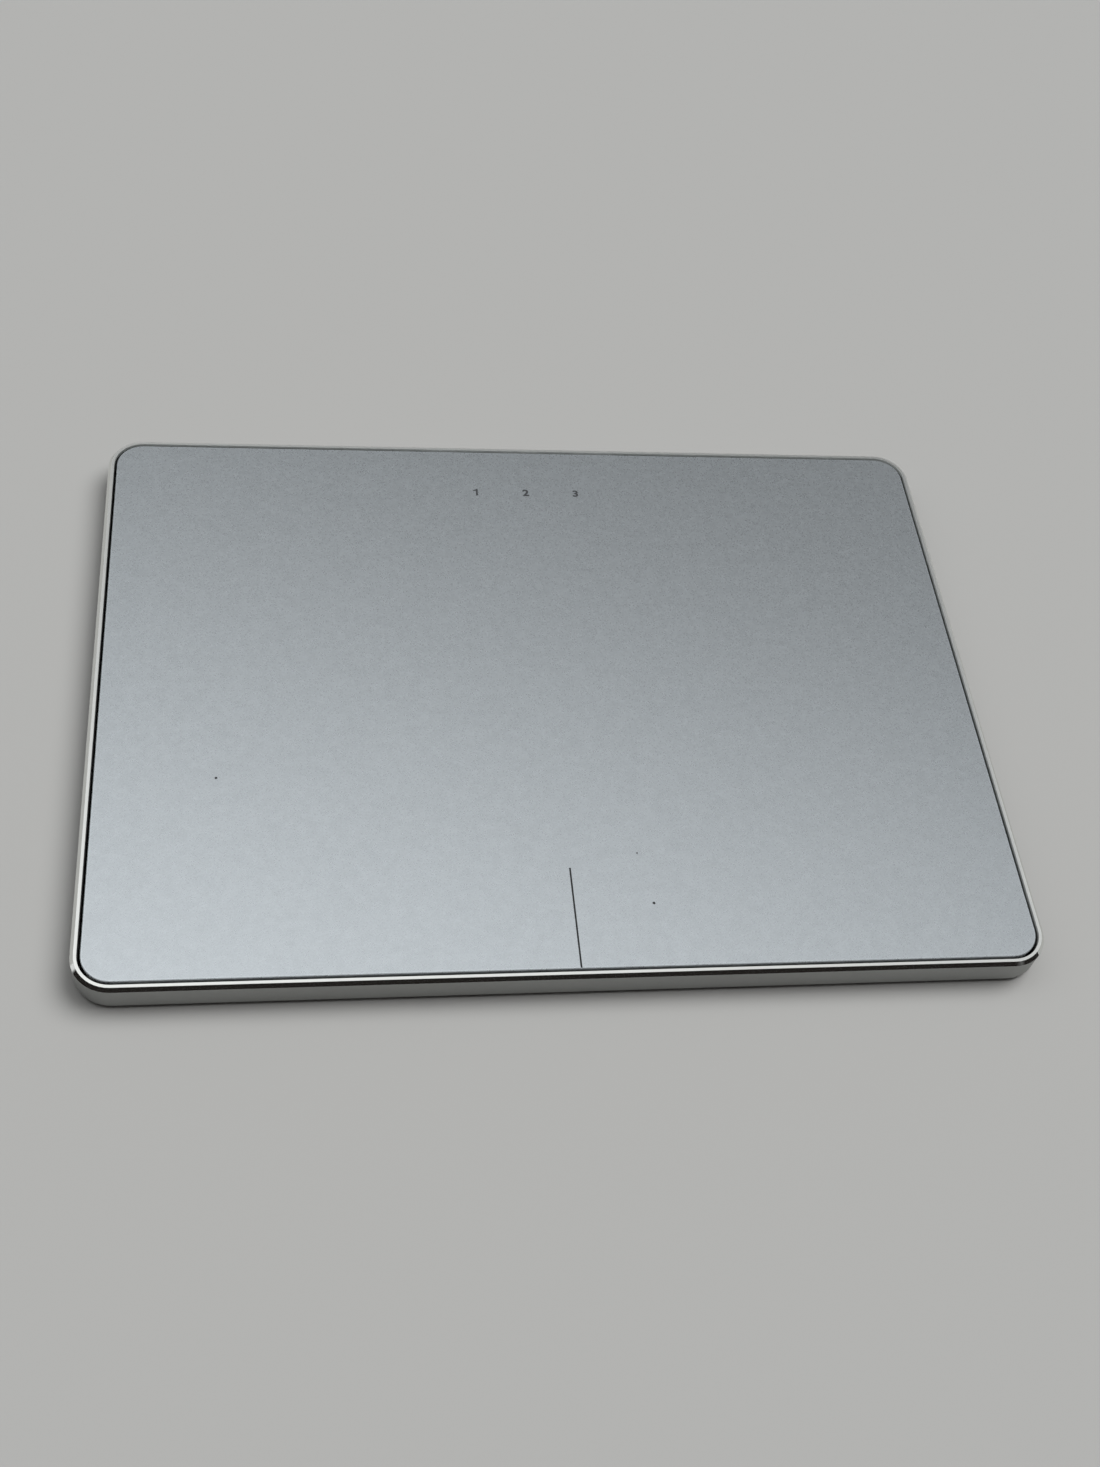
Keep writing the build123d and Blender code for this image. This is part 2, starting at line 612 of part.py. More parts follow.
def touch_controller():
    """Touch chip under the sensor board, in a window of the support plate."""
    return block(CONTROLLER_SIZE, CONTROLLER_SIZE, sensor_bottom - CONTROLLER_HEIGHT, sensor_bottom, controller_x,
                 controller_y)


def flex_socket(bottom, ribbon_level, y, facing):
    """Socket for the ribbon, with its slot on the side it faces."""
    body = block(FLEX_PLUG_WIDTH, FLEX_PLUG_DEPTH, bottom, bottom + FLEX_PLUG_HEIGHT, 0, y)
    slot_height = RIBBON_THICKNESS + 2 * RIBBON_SLOT_CLEARANCE
    slot_width = RIBBON_WIDTH + 2 * RIBBON_SLOT_CLEARANCE
    slot_depth = RIBBON_GRIP + RIBBON_SLOT_CLEARANCE
    slot = block(slot_width, 2 * slot_depth, ribbon_level - slot_height / 2, ribbon_level + slot_height / 2, 0,
                 y + facing * FLEX_PLUG_DEPTH / 2)
    return body - slot


def drop_path(x, start_y, start_level, end_y, end_level, straight):
    """Line that runs to the rear, changes level in two tangent arcs and runs on."""
    bend_start = (x, start_y + straight, start_level)
    bend_end = (x, end_y - straight, end_level)
    middle = (x, (bend_start[1] + bend_end[1]) / 2, (start_level + end_level) / 2)
    first = Line((x, start_y, start_level), bend_start)
    down = TangentArc(bend_start, middle, tangent=(0, 1, 0))
    level = TangentArc(middle, bend_end, tangent=down % 1)
    last = Line(bend_end, (x, end_y, end_level))
    return Wire([first, down, level, last])


def strip_along(path, width, thickness):
    """Flat strip swept along a path."""
    section = Plane(origin=path @ 0, x_dir=(1, 0, 0), z_dir=path % 0) * Rectangle(width, thickness)
    return sweep(section, path=path)


def sensor_ribbon():
    """Flat flexible cable from the sensor board to the main board."""
    start_y = sensor_plug_y + FLEX_PLUG_DEPTH / 2 - RIBBON_GRIP
    end_y = board_socket_y - FLEX_PLUG_DEPTH / 2 + RIBBON_GRIP
    path = drop_path(0, start_y, ribbon_high, end_y, ribbon_low, RIBBON_GRIP + RIBBON_STRAIGHT)
    return strip_along(path, RIBBON_WIDTH, RIBBON_THICKNESS)


def light_guide():
    """Clear bar under the support plate with a post up to each number."""
    bar_bottom = support_bottom - GUIDE_BAR_THICKNESS
    bar_width = 2 * (DIGIT_PITCH + GUIDE_BAR_MARGIN) + GUIDE_POST_WIDTH
    bar = block(bar_width, GUIDE_BAR_DEPTH, bar_bottom, support_bottom, 0, digit_y)
    posts = [block(GUIDE_POST_WIDTH, GUIDE_POST_WIDTH, bar_bottom, glass_bottom, x, digit_y) for x in digit_xs]
    return fuse_all([bar] + posts)


def channel_leds():
    """One light on the main board under each number."""
    return [block(LED_WIDTH, LED_DEPTH, board_top, board_top + LED_HEIGHT, x, digit_y) for x in digit_xs]


def leaf_profile():
    """Side outline of a spring leaf: flat on its pad, a joggle up, flat under the support plate."""
    rear_low = flange_top
    front_low = support_bottom - LEAF_THICKNESS
    joggle_rear = hinge_y + LEAF_JOGGLE / 2
    joggle_front = hinge_y - LEAF_JOGGLE / 2
    lower = [(leaf_rear_y, rear_low), (joggle_rear, rear_low), (joggle_front, front_low), (leaf_front_y, front_low)]
    upper = [(y, level + LEAF_THICKNESS) for y, level in reversed(lower)]
    return lower + upper


def hinge_leaf(x):
    """Spring leaf with a window that leaves two flexing arms."""
    outline = [(0, y, level) for y, level in leaf_profile()]
    face = make_face(Polyline(outline, close=True))
    leaf = Pos(x - LEAF_WIDTH / 2, 0, 0) * extrude(face, LEAF_WIDTH, dir=(1, 0, 0))
    leaf = chamfer(leaf.edges().filter_by(Axis.Z), LEAF_END_CHAMFER)
    arm_length = LEAF_SPAN - 2 * LEAF_WINDOW_MARGIN
    low = flange_top - CUT_OVERRUN
    high = support_bottom + CUT_OVERRUN
    cuts = [block(LEAF_WINDOW_WIDTH, arm_length, low, high, x, hinge_y)]
    cuts.append(post(SCREW_RADIUS + SCREW_CLEARANCE, low, high, x, nut_y))
    hole_width = LEAF_PIP_WIDTH + 2 * LEAF_PIP_CLEARANCE
    cuts += [block(hole_width, hole_width, low, high, x + side * LEAF_PIP_OFFSET, nut_y) for side in (-1, 1)]
    return cut_all(leaf, cuts)


def leaf_nuts():
    """Hexagonal nut pressed on the rear end of each leaf."""
    outline = RegularPolygon(NUT_WIDTH / 2, 6, major_radius=False)
    nut = Pos(0, 0, nut_bottom) * extrude(outline, NUT_HEIGHT)
    nut -= post(SCREW_RADIUS + THREAD_CLEARANCE, nut_bottom - CUT_OVERRUN, nut_top + CUT_OVERRUN)
    return [Pos(x, nut_y, 0) * nut for x in leaf_xs]


def hinge_screws():
    """Screw up through each of the rim's pads into the leaf's nut."""
    screw = flat_screw(flange_bottom, nut_top)
    return [Pos(x, nut_y, 0) * screw for x in leaf_xs]


def stop_pads():
    """Soft pads on the front flange that end the plate's travel."""
    y = FLANGE_WIDTH / 2 - wall_face_y
    return [block(STOP_PAD_LENGTH, STOP_PAD_DEPTH, flange_top, flange_top + STOP_PAD_HEIGHT, x, y)
            for x in (-stop_pad_x, stop_pad_x)]


def click_switch_body():
    """Switch housing under the sensor board, with a round cavity for the dome and the plunger's head."""
    body = block(SWITCH_SIZE, SWITCH_SIZE, switch_bottom, sensor_bottom, 0, switch_y)
    body -= post(SWITCH_CAVITY_RADIUS, cavity_floor, cavity_roof, 0, switch_y)
    return body - post(PLUNGER_RADIUS + PLUNGER_CLEARANCE, switch_bottom - CUT_OVERRUN, cavity_roof, 0, switch_y)


def switch_plunger():
    """Plunger that reaches down to the press boss."""
    head_bottom = plunger_top - PLUNGER_HEAD_HEIGHT
    plunger = post(PLUNGER_RADIUS, plunger_bottom, plunger_top, 0, switch_y)
    return plunger + post(PLUNGER_HEAD_RADIUS, head_bottom, plunger_top, 0, switch_y)


def switch_dome():
    """Snap disc between the plunger and the roof of the cavity: a coned ring round a flat middle."""
    rim_radius = SWITCH_CAVITY_RADIUS - PLUNGER_CLEARANCE
    flat_radius = PLUNGER_RADIUS / 2
    rim_low = cavity_roof - DOME_THICKNESS
    outline = [(0, plunger_top), (flat_radius, plunger_top), (rim_radius, rim_low), (rim_radius, cavity_roof),
               (flat_radius, plunger_top + DOME_THICKNESS), (0, plunger_top + DOME_THICKNESS)]
    section = Plane.XZ * make_face(Polyline(outline, close=True))
    return Pos(0, switch_y, 0) * revolve(section, Axis.Z)


def main_board():
    """Circuit board behind the rear wall, cut out round the charging socket."""
    board = Pos(0, board_centre_y, 0) * slab(BOARD_WIDTH, BOARD_DEPTH, BOARD_CORNER_RADIUS, board_bottom, board_top)
    low = board_bottom - CUT_OVERRUN
    high = board_top + CUT_OVERRUN
    front = usb_back_y - USB_BOARD_CLEARANCE
    depth = rear_face_y - front
    cuts = [block(USB_SHELL_WIDTH + 2 * USB_BOARD_CLEARANCE, depth, low, high, 0, front + depth / 2)]
    cuts += [post(SCREW_RADIUS + SCREW_CLEARANCE, low, high, x, board_screw_y) for x in board_screw_xs]
    return cut_all(board, cuts)


def board_screws():
    """Screws that hold the main board up against the rim's flange."""
    screw = flat_screw(board_bottom, board_lug_top - THREAD_END_GAP)
    return [Pos(x, board_screw_y, 0) * screw for x in board_screw_xs]


def wireless_shield():
    """Folded can over the radio chip."""
    can = block(SHIELD_WIDTH, SHIELD_DEPTH, board_top, board_top + SHIELD_HEIGHT, shield_x, shield_y)
    return can - block(SHIELD_WIDTH - 2 * SHIELD_SHEET, SHIELD_DEPTH - 2 * SHIELD_SHEET, board_top - CUT_OVERRUN,
                       board_top + SHIELD_HEIGHT - SHIELD_SHEET, shield_x, shield_y)


def wireless_chip():
    """Radio chip under the can."""
    return block(RADIO_CHIP_SIZE, RADIO_CHIP_SIZE, board_top, board_top + RADIO_CHIP_HEIGHT, shield_x, shield_y)


def chip_antenna():
    """Ceramic antenna at the corner of the board, over the moulded cover."""
    return block(ANTENNA_LENGTH, ANTENNA_WIDTH, board_top, board_top + ANTENNA_HEIGHT, antenna_x, antenna_y)


def power_chip():
    """Charging chip."""
    return block(POWER_CHIP_SIZE, POWER_CHIP_SIZE, board_top, board_top + POWER_CHIP_HEIGHT, power_chip_x,
                 board_centre_y)


def battery():
    """Flat pouch cell with its protection circuit along the rear edge."""
    top = battery_bottom + BATTERY_HEIGHT
    cell = block(BATTERY_WIDTH, battery_depth, battery_bottom, top, 0, battery_centre_y)
    cell = fillet(cell.edges().filter_by(Axis.Y), BATTERY_EDGE_RADIUS)
    return cell + block(BATTERY_CIRCUIT_WIDTH, BATTERY_CIRCUIT_DEPTH, battery_bottom,
                        battery_bottom + BATTERY_CIRCUIT_HEIGHT, circuit_x,
                        battery_rear_y + BATTERY_CIRCUIT_DEPTH / 2)


def battery_tape():
    """Two strips that bond the cell to the cover."""
    length = BATTERY_WIDTH - 2 * BATTERY_TAPE_END_MARGIN
    offset = battery_depth / 2 - BATTERY_TAPE_INSET - BATTERY_TAPE_WIDTH / 2
    return [block(length, BATTERY_TAPE_WIDTH, cover_top, battery_bottom, 0, battery_centre_y + side * offset)
            for side in (-1, 1)]


def battery_connector():
    """Plug and socket of the battery lead."""
    return block(BATTERY_PLUG_WIDTH, BATTERY_PLUG_DEPTH, board_top, board_top + BATTERY_PLUG_HEIGHT, battery_plug_x,
                 battery_socket_y)


def battery_lead():
    """Flat flexible tail from the cell's circuit to its connector."""
    start_level = battery_bottom + BATTERY_CIRCUIT_HEIGHT / 2
    end_level = board_top + BATTERY_PLUG_HEIGHT / 2
    end_y = battery_socket_y - BATTERY_PLUG_DEPTH / 2
    path = drop_path(battery_plug_x, circuit_rear_y, start_level, end_y, end_level, LEAD_STRAIGHT)
    return strip_along(path, LEAD_WIDTH, LEAD_THICKNESS)


def usb_socket_shell():
    """Drawn steel shell of the charging socket, with four wings soldered to the board."""
    inner_width = USB_SHELL_WIDTH - 2 * USB_SHELL_WALL
    inner_height = USB_SHELL_HEIGHT - 2 * USB_SHELL_WALL
    wing_start = USB_SHELL_WIDTH / 2 - USB_SHELL_WALL
    wing_width = USB_SHELL_WALL + USB_WING_REACH
    wing_y = (usb_back_y + wall_face_y) / 2
    wings = [block(wing_width, USB_WING_WIDTH, board_top, board_top + USB_WING_THICKNESS,
                   side * (wing_start + wing_width / 2), wing_y + step * USB_WING_SPACING / 2)
             for side in (-1, 1) for step in (-1, 1)]
    shell = stadium(USB_SHELL_WIDTH, USB_SHELL_HEIGHT, usb_back_y, usb_mouth_y, 0, usb_level)
    shell = fuse_all([shell] + wings)
    return shell - stadium(inner_width, inner_height, usb_back_y - CUT_OVERRUN, usb_mouth_y + CUT_OVERRUN, 0,
                           usb_level)


def usb_tongue():
    """Contact tongue and the base that plugs the rear of the shell."""
    inner_width = USB_SHELL_WIDTH - 2 * USB_SHELL_WALL
    inner_height = USB_SHELL_HEIGHT - 2 * USB_SHELL_WALL
    base = stadium(inner_width, inner_height, usb_back_y, usb_back_y + USB_BASE_LENGTH, 0, usb_level)
    tip_y = usb_mouth_y - USB_TONGUE_SETBACK
    return base + block(USB_TONGUE_WIDTH, tip_y - usb_back_y, usb_level - USB_TONGUE_THICKNESS / 2,
                        usb_level + USB_TONGUE_THICKNESS / 2, 0, (tip_y + usb_back_y) / 2)


def skirt(length, slot_length, travel, x):
    """Plate behind the rim wall that keeps a control in its slot."""
    width = max(length, slot_length + travel) + 2 * CONTROL_SKIRT_OVERLAP
    height = CONTROL_HEIGHT + 2 * PORT_CLEARANCE + 2 * CONTROL_SKIRT_OVERLAP
    return block(width, CONTROL_SKIRT, control_level - height / 2, control_level + height / 2, x,
                 (skirt_front_y + skirt_rear_y) / 2)


def power_slider():
    """Ridged slider cap with a pocket for the switch lever."""
    slot_length = SLIDER_LENGTH + SLIDER_TRAVEL + 2 * PORT_CLEARANCE
    face_y = rear_face_y - SLIDER_RECESS
    cap = skirt(SLIDER_LENGTH, slot_length, SLIDER_TRAVEL, slider_rest_x)
    cap += stadium(SLIDER_LENGTH, CONTROL_HEIGHT, skirt_rear_y, face_y, slider_rest_x, control_level)
    pocket_height = LEVER_HEIGHT + LEVER_CLEARANCE
    cuts = [block(LEVER_WIDTH + LEVER_CLEARANCE, 2 * (LEVER_TIP + LEVER_CLEARANCE), control_level - pocket_height / 2,
                  control_level + pocket_height / 2, slider_rest_x, skirt_front_y)]
    for step in range(SLIDER_RIDGES):
        x = slider_rest_x + (step - (SLIDER_RIDGES - 1) / 2) * SLIDER_RIDGE_PITCH
        cuts.append(block(SLIDER_RIDGE_WIDTH, 2 * SLIDER_RIDGE_DEPTH, control_level - CONTROL_HEIGHT,
                          control_level + CONTROL_HEIGHT, x, face_y))
    return cut_all(cap, cuts)


def power_switch_body():
    """Slide switch on the main board, open to the rear for its lever."""
    front_y = rear_switch_face_y - POWER_SWITCH_DEPTH
    body = block(POWER_SWITCH_WIDTH, POWER_SWITCH_DEPTH, board_top, board_top + POWER_SWITCH_HEIGHT, slider_x,
                 (front_y + rear_switch_face_y) / 2)
    window_width = LEVER_WIDTH + SLIDER_TRAVEL + 2 * LEVER_CLEARANCE
    window_height = LEVER_HEIGHT + 2 * LEVER_CLEARANCE
    window_depth = LEVER_ROOT + LEVER_CLEARANCE
    return body - block(window_width, 2 * window_depth, control_level - window_height / 2,
                        control_level + window_height / 2, slider_x, rear_switch_face_y)


def power_switch_lever():
    """Lever of the slide switch, held in the slider's pocket."""
    front_y = rear_switch_face_y - LEVER_ROOT
    tip_y = skirt_front_y + LEVER_TIP
    return block(LEVER_WIDTH, tip_y - front_y, control_level - LEVER_HEIGHT / 2, control_level + LEVER_HEIGHT / 2,
                 slider_rest_x, (tip_y + front_y) / 2)


def channel_button():
    """Button cap that steps through the channels."""
    cap = skirt(BUTTON_LENGTH + 2 * PORT_CLEARANCE, 0, 0, button_x)
    return cap + stadium(BUTTON_LENGTH, CONTROL_HEIGHT, skirt_rear_y, rear_face_y - BUTTON_RECESS, button_x,
                         control_level)


def channel_switch_body():
    """Side-pressed switch on the main board, open to the rear for its stem."""
    front_y = rear_switch_face_y - CHANNEL_SWITCH_DEPTH
    body = block(CHANNEL_SWITCH_WIDTH, CHANNEL_SWITCH_DEPTH, board_top, board_top + CHANNEL_SWITCH_HEIGHT, button_x,
                 (front_y + rear_switch_face_y) / 2)
    window_height = STEM_HEIGHT + 2 * LEVER_CLEARANCE
    window_depth = STEM_ROOT + BUTTON_TRAVEL + LEVER_CLEARANCE
    return body - block(STEM_WIDTH + 2 * LEVER_CLEARANCE, 2 * window_depth, control_level - window_height / 2,
                        control_level + window_height / 2, button_x, rear_switch_face_y)


def channel_switch_stem():
    """Stem of the side-pressed switch, against the button's skirt."""
    front_y = rear_switch_face_y - STEM_ROOT
    return block(STEM_WIDTH, skirt_front_y - front_y, control_level - STEM_HEIGHT / 2, control_level + STEM_HEIGHT / 2,
                 button_x, (skirt_front_y + front_y) / 2)


def sensor_connector():
    """Ribbon socket under the sensor board."""
    return flex_socket(sensor_plug_bottom, ribbon_high, sensor_plug_y, 1)


def board_connector():
    """Ribbon socket on the main board."""
    return flex_socket(board_top, ribbon_low, board_socket_y, -1)


def all_parts():
    """Every piece by its name."""
    return {
        "rim_frame": rim_frame(),
        "bottom_cover": bottom_cover(),
        "cover_screws": cover_screws(),
        "rubber_feet": rubber_feet(),
        "touch_glass": touch_glass(),
        "glass_adhesive": glass_adhesive(),
        "sensor_board": sensor_board(),
        "support_plate": support_plate(),
        "touch_controller": touch_controller(),
        "sensor_connector": sensor_connector(),
        "sensor_ribbon": sensor_ribbon(),
        "light_guide": light_guide(),
        "click_switch_body": click_switch_body(),
        "switch_dome": switch_dome(),
        "switch_plunger": switch_plunger(),
        "hinge_leaf_left": hinge_leaf(leaf_xs[0]),
        "hinge_leaf_right": hinge_leaf(leaf_xs[1]),
        "leaf_nuts": leaf_nuts(),
        "hinge_screws": hinge_screws(),
        "stop_pads": stop_pads(),
        "main_board": main_board(),
        "board_screws": board_screws(),
        "board_connector": board_connector(),
        "channel_leds": channel_leds(),
        "wireless_shield": wireless_shield(),
        "wireless_chip": wireless_chip(),
        "chip_antenna": chip_antenna(),
        "power_chip": power_chip(),
        "battery": battery(),
        "battery_tape": battery_tape(),
        "battery_connector": battery_connector(),
        "battery_lead": battery_lead(),
        "usb_socket_shell": usb_socket_shell(),
        "usb_tongue": usb_tongue(),
        "power_slider": power_slider(),
        "power_switch_lever": power_switch_lever(),
        "power_switch_body": power_switch_body(),
        "channel_button": channel_button(),
        "channel_switch_stem": channel_switch_stem(),
        "channel_switch_body": channel_switch_body(),
    }


def main():
    """Write one file for each piece."""
    os.makedirs("parts", exist_ok=True)
    for name, piece in all_parts().items():
        shape = Compound(children=piece) if isinstance(piece, list) else piece
        shape.label = name
        export_step(shape, f"parts/{name}.step")


main()
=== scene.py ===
"""Looks of the slim wireless trackpad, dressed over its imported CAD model.

Metres, in the CAD model's frame: +X to the right, +Y to the rear, +Z up, the table at Z 0.
"""
import json
import logging
import math
from dataclasses import dataclass, field
from enum import Enum
from typing import Any, Iterable

import bmesh
import bpy
from mathutils import Matrix, Vector

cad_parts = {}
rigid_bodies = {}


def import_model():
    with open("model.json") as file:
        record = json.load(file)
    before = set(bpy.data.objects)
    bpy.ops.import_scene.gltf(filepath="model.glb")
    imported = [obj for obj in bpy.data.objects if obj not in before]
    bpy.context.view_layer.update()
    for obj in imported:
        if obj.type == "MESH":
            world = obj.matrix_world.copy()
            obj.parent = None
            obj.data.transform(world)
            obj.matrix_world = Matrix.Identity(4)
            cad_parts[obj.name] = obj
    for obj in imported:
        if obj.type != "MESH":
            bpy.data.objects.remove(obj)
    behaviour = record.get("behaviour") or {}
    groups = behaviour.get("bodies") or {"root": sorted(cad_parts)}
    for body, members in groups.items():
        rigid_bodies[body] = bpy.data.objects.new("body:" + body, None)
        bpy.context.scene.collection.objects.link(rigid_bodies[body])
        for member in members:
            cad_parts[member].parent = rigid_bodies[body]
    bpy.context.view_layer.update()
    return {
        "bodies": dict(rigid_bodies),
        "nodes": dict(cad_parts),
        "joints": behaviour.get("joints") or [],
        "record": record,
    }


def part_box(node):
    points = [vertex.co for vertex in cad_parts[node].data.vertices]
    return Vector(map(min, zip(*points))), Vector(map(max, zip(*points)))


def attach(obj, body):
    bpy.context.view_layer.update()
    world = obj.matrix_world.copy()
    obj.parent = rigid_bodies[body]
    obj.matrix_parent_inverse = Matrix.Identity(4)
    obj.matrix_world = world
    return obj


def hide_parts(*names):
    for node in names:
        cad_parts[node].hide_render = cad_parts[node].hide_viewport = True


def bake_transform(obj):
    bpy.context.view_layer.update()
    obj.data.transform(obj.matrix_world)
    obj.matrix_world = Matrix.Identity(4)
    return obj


LOG = logging.getLogger("trackpad")
MM = 0.001
MERGE_DISTANCE = 0.0005 * MM

Pair = tuple[float, float]
Triple = tuple[float, float, float]
Colour = Triple
Socket = bpy.types.NodeSocket
Node = bpy.types.Node
Tree = bpy.types.NodeTree
Piece = bpy.types.Object
Material = bpy.types.Material
Mesh = bpy.types.Mesh
Shape = bmesh.types.BMesh
Vert = bmesh.types.BMVert
Edge = bmesh.types.BMEdge


class Slot(str, Enum):
    """The record's material slots."""

    RIM = "rim_aluminium"
    COVER = "cover_plastic"
    SCREW = "screw_steel"
    RUBBER = "foot_rubber"
    TOUCH = "touch_surface"
    ADHESIVE = "adhesive"
    BOARD = "circuit_board"
    SPRING = "spring_steel"
    CHIP = "chip_black"
    SOCKET = "socket_plastic"
    RIBBON = "ribbon_film"
    CLEAR = "clear_plastic"
    BRASS = "brass"
    SHIELD = "shield_steel"
    FOIL = "battery_foil"
    LEAD = "wire_insulation"
    CONTROL = "control_plastic"


class Rider(str, Enum):
    """The bodies that new pieces ride on."""

    ROOT = "root"
    PLATE = "touch_plate"
    PLUNGER = "click_plunger"


class Run(Enum):
    """The direction in which a brushed finish runs: how fine it is along X, Y and Z."""

    X = (40.0, 1500.0, 1500.0)
    Y = (1500.0, 40.0, 1500.0)
    Z = (1500.0, 1500.0, 40.0)


class Kind(str, Enum):
    """The kinds of socket that a node group has."""

    NUMBER = "NodeSocketFloat"
    WHOLE = "NodeSocketInt"
    VECTOR = "NodeSocketVector"
    COLOUR = "NodeSocketColor"
    GEOMETRY = "NodeSocketGeometry"
    OBJECT = "NodeSocketObject"
    MATERIAL = "NodeSocketMaterial"


class Family(str, Enum):
    """The kinds of node group."""

    SHADER = "ShaderNodeTree"
    GEOMETRY = "GeometryNodeTree"


def tone(red: float, green: float, blue: float) -> Colour:
    """Turn a colour written as 0 to 255 display levels into linear light, by the sRGB curve.

    Args:
        red: Display level of red.
        green: Display level of green.
        blue: Display level of blue.

    Returns:
        The colour in linear light, 0 to 1.
    """
    def linear(level: float) -> float:
        """Give one channel in linear light."""
        share = level / 255
        return share / 12.92 if share <= 0.04045 else ((share + 0.055) / 1.055) ** 2.4

    return linear(red), linear(green), linear(blue)


@dataclass
class Sketch:
    """A node tree being drawn, with short calls that add and join its nodes."""

    tree: Tree

    def node(self, kind: str, inputs: dict[str | int, Any] | None = None, **settings: Any) -> Node:
        """Add a node and fill its inputs.

        Args:
            kind: The node's type name.
            inputs: A value or a socket for each input, by name or place.
            settings: The node's own properties.

        Returns:
            The new node.
        """
        made = self.tree.nodes.new(kind)
        for name, value in settings.items():
            setattr(made, name, value)
        for key, value in (inputs or {}).items():
            self.feed(made.inputs[key], value)
        return made

    def feed(self, socket: Socket, value: Any) -> None:
        """Link an input to a socket, or set its value.

        Args:
            socket: The input.
            value: A socket, a colour or a plain value.
        """
        if isinstance(value, bpy.types.NodeSocket):
            self.tree.links.new(value, socket)
        elif isinstance(value, tuple) and socket.type == "RGBA":
            socket.default_value = (*value, 1.0)
        else:
            socket.default_value = value

    def calc(self, operation: str, *values: Any) -> Socket:
        """Add a Math node and give its result."""
        return self.node("ShaderNodeMath", dict(enumerate(values)), operation=operation).outputs[0]

    def times(self, first: Any, *others: Any) -> Socket:
        """Multiply values together.

        Args:
            first: The first value.
            others: The rest.

        Returns:
            The product.
        """
        for value in others:
            first = self.calc("MULTIPLY", first, value)
        return first

    def spread(self, value: Any, low: float, high: float, to_low: Any, to_high: Any) -> Socket:
        """Map a range of values on another, held at both ends.

        Args:
            value: What is mapped.
            low: Start of its range.
            high: End of its range.
            to_low: The result at the start.
            to_high: The result at the end.

        Returns:
            The mapped value.
        """
        made = self.node("ShaderNodeMapRange", {"Value": value, "From Min": low, "From Max": high,
                                                "To Min": to_low, "To Max": to_high})
        return made.outputs["Result"]

    def fade(self, share: Any, off: Any, full: Any) -> Socket:
        """Go from one value to another as a share goes from 0 to 1."""
        return self.spread(share, 0.0, 1.0, off, full)

    def curve(self, value: Any, stops: Iterable[Pair]) -> Socket:
        """Follow levels over a value that goes from -1 to 1.

        Args:
            value: The value.
            stops: Values in rising order, each with its level.

        Returns:
            The level, straight between two stops.
        """
        made = self.node("ShaderNodeValToRGB", {"Fac": self.spread(value, -1.0, 1.0, 0.0, 1.0)})
        elements = made.color_ramp.elements
        for number, (place, level) in enumerate(stops):
            stop = elements[number] if number < len(elements) else elements.new(1.0)
            stop.position = (place + 1) / 2
            stop.color = (level, level, level, 1.0)
        return made.outputs["Color"]

    def mix(self, share: Any, first: Any, second: Any) -> Socket:
        """Blend two colours.

        Args:
            share: Share of the second.
            first: The first colour.
            second: The second colour.

        Returns:
            The blend.
        """
        # In a Mix node the colours go in at 6 and 7 and come out at 2.
        return self.node("ShaderNodeMix", {0: share, 6: first, 7: second},
                         data_type="RGBA").outputs[2]

    def parts(self, vector: Any) -> tuple[Socket, ...]:
        """Split a vector into its X, Y and Z."""
        return tuple(self.node("ShaderNodeSeparateXYZ", {0: vector}).outputs)

    def scaled(self, vector: Any, scale: Any) -> Socket:
        """Make a vector or colour larger or smaller."""
        inputs = {0: vector, "Scale": scale}
        return self.node("ShaderNodeVectorMath", inputs, operation="SCALE").outputs[0]

    def use(self, tree: Tree, **inputs: Any) -> Node:
        """Place a shared group and fill its inputs.

        Args:
            tree: The group.
            inputs: A value or a socket for each input, with underscores for the name's spaces.

        Returns:
            The group's node.
        """
        made = self.node("ShaderNodeGroup", node_tree=tree)
        for name, value in inputs.items():
            self.feed(made.inputs[name.replace("_", " ")], value)
        return made


@dataclass
class Group(Sketch):
    """A node group being drawn between its named inputs and outputs."""

    enter: Node
    leave: Node

    @classmethod
    def start(cls, name: str, family: Family, inputs: dict[str, Kind], outputs: dict[str, Kind]
              ) -> "Group":
        """Start a node group.

        Args:
            name: The group's name.
            family: What kind it is.
            inputs: The kind of each socket that goes in, by its name.
            outputs: The kind of each socket that comes out, by its name.

        Returns:
            The group, with nothing drawn in it.
        """
        tree = bpy.data.node_groups.new(name, family.value)
        for way, sockets in (("INPUT", inputs), ("OUTPUT", outputs)):
            for label, kind in sockets.items():
                tree.interface.new_socket(name=label, in_out=way, socket_type=kind.value)
        return cls(tree, tree.nodes.new("NodeGroupInput"), tree.nodes.new("NodeGroupOutput"))

    def take(self, name: str) -> Socket:
        """Give what goes in by a name."""
        return self.enter.outputs[name]

    def give(self, **results: Socket) -> Tree:
        """Finish the group.

        Args:
            results: What comes out, by name.

        Returns:
            The finished tree.
        """
        for name, result in results.items():
            self.feed(self.leave.inputs[name], result)
        return self.tree


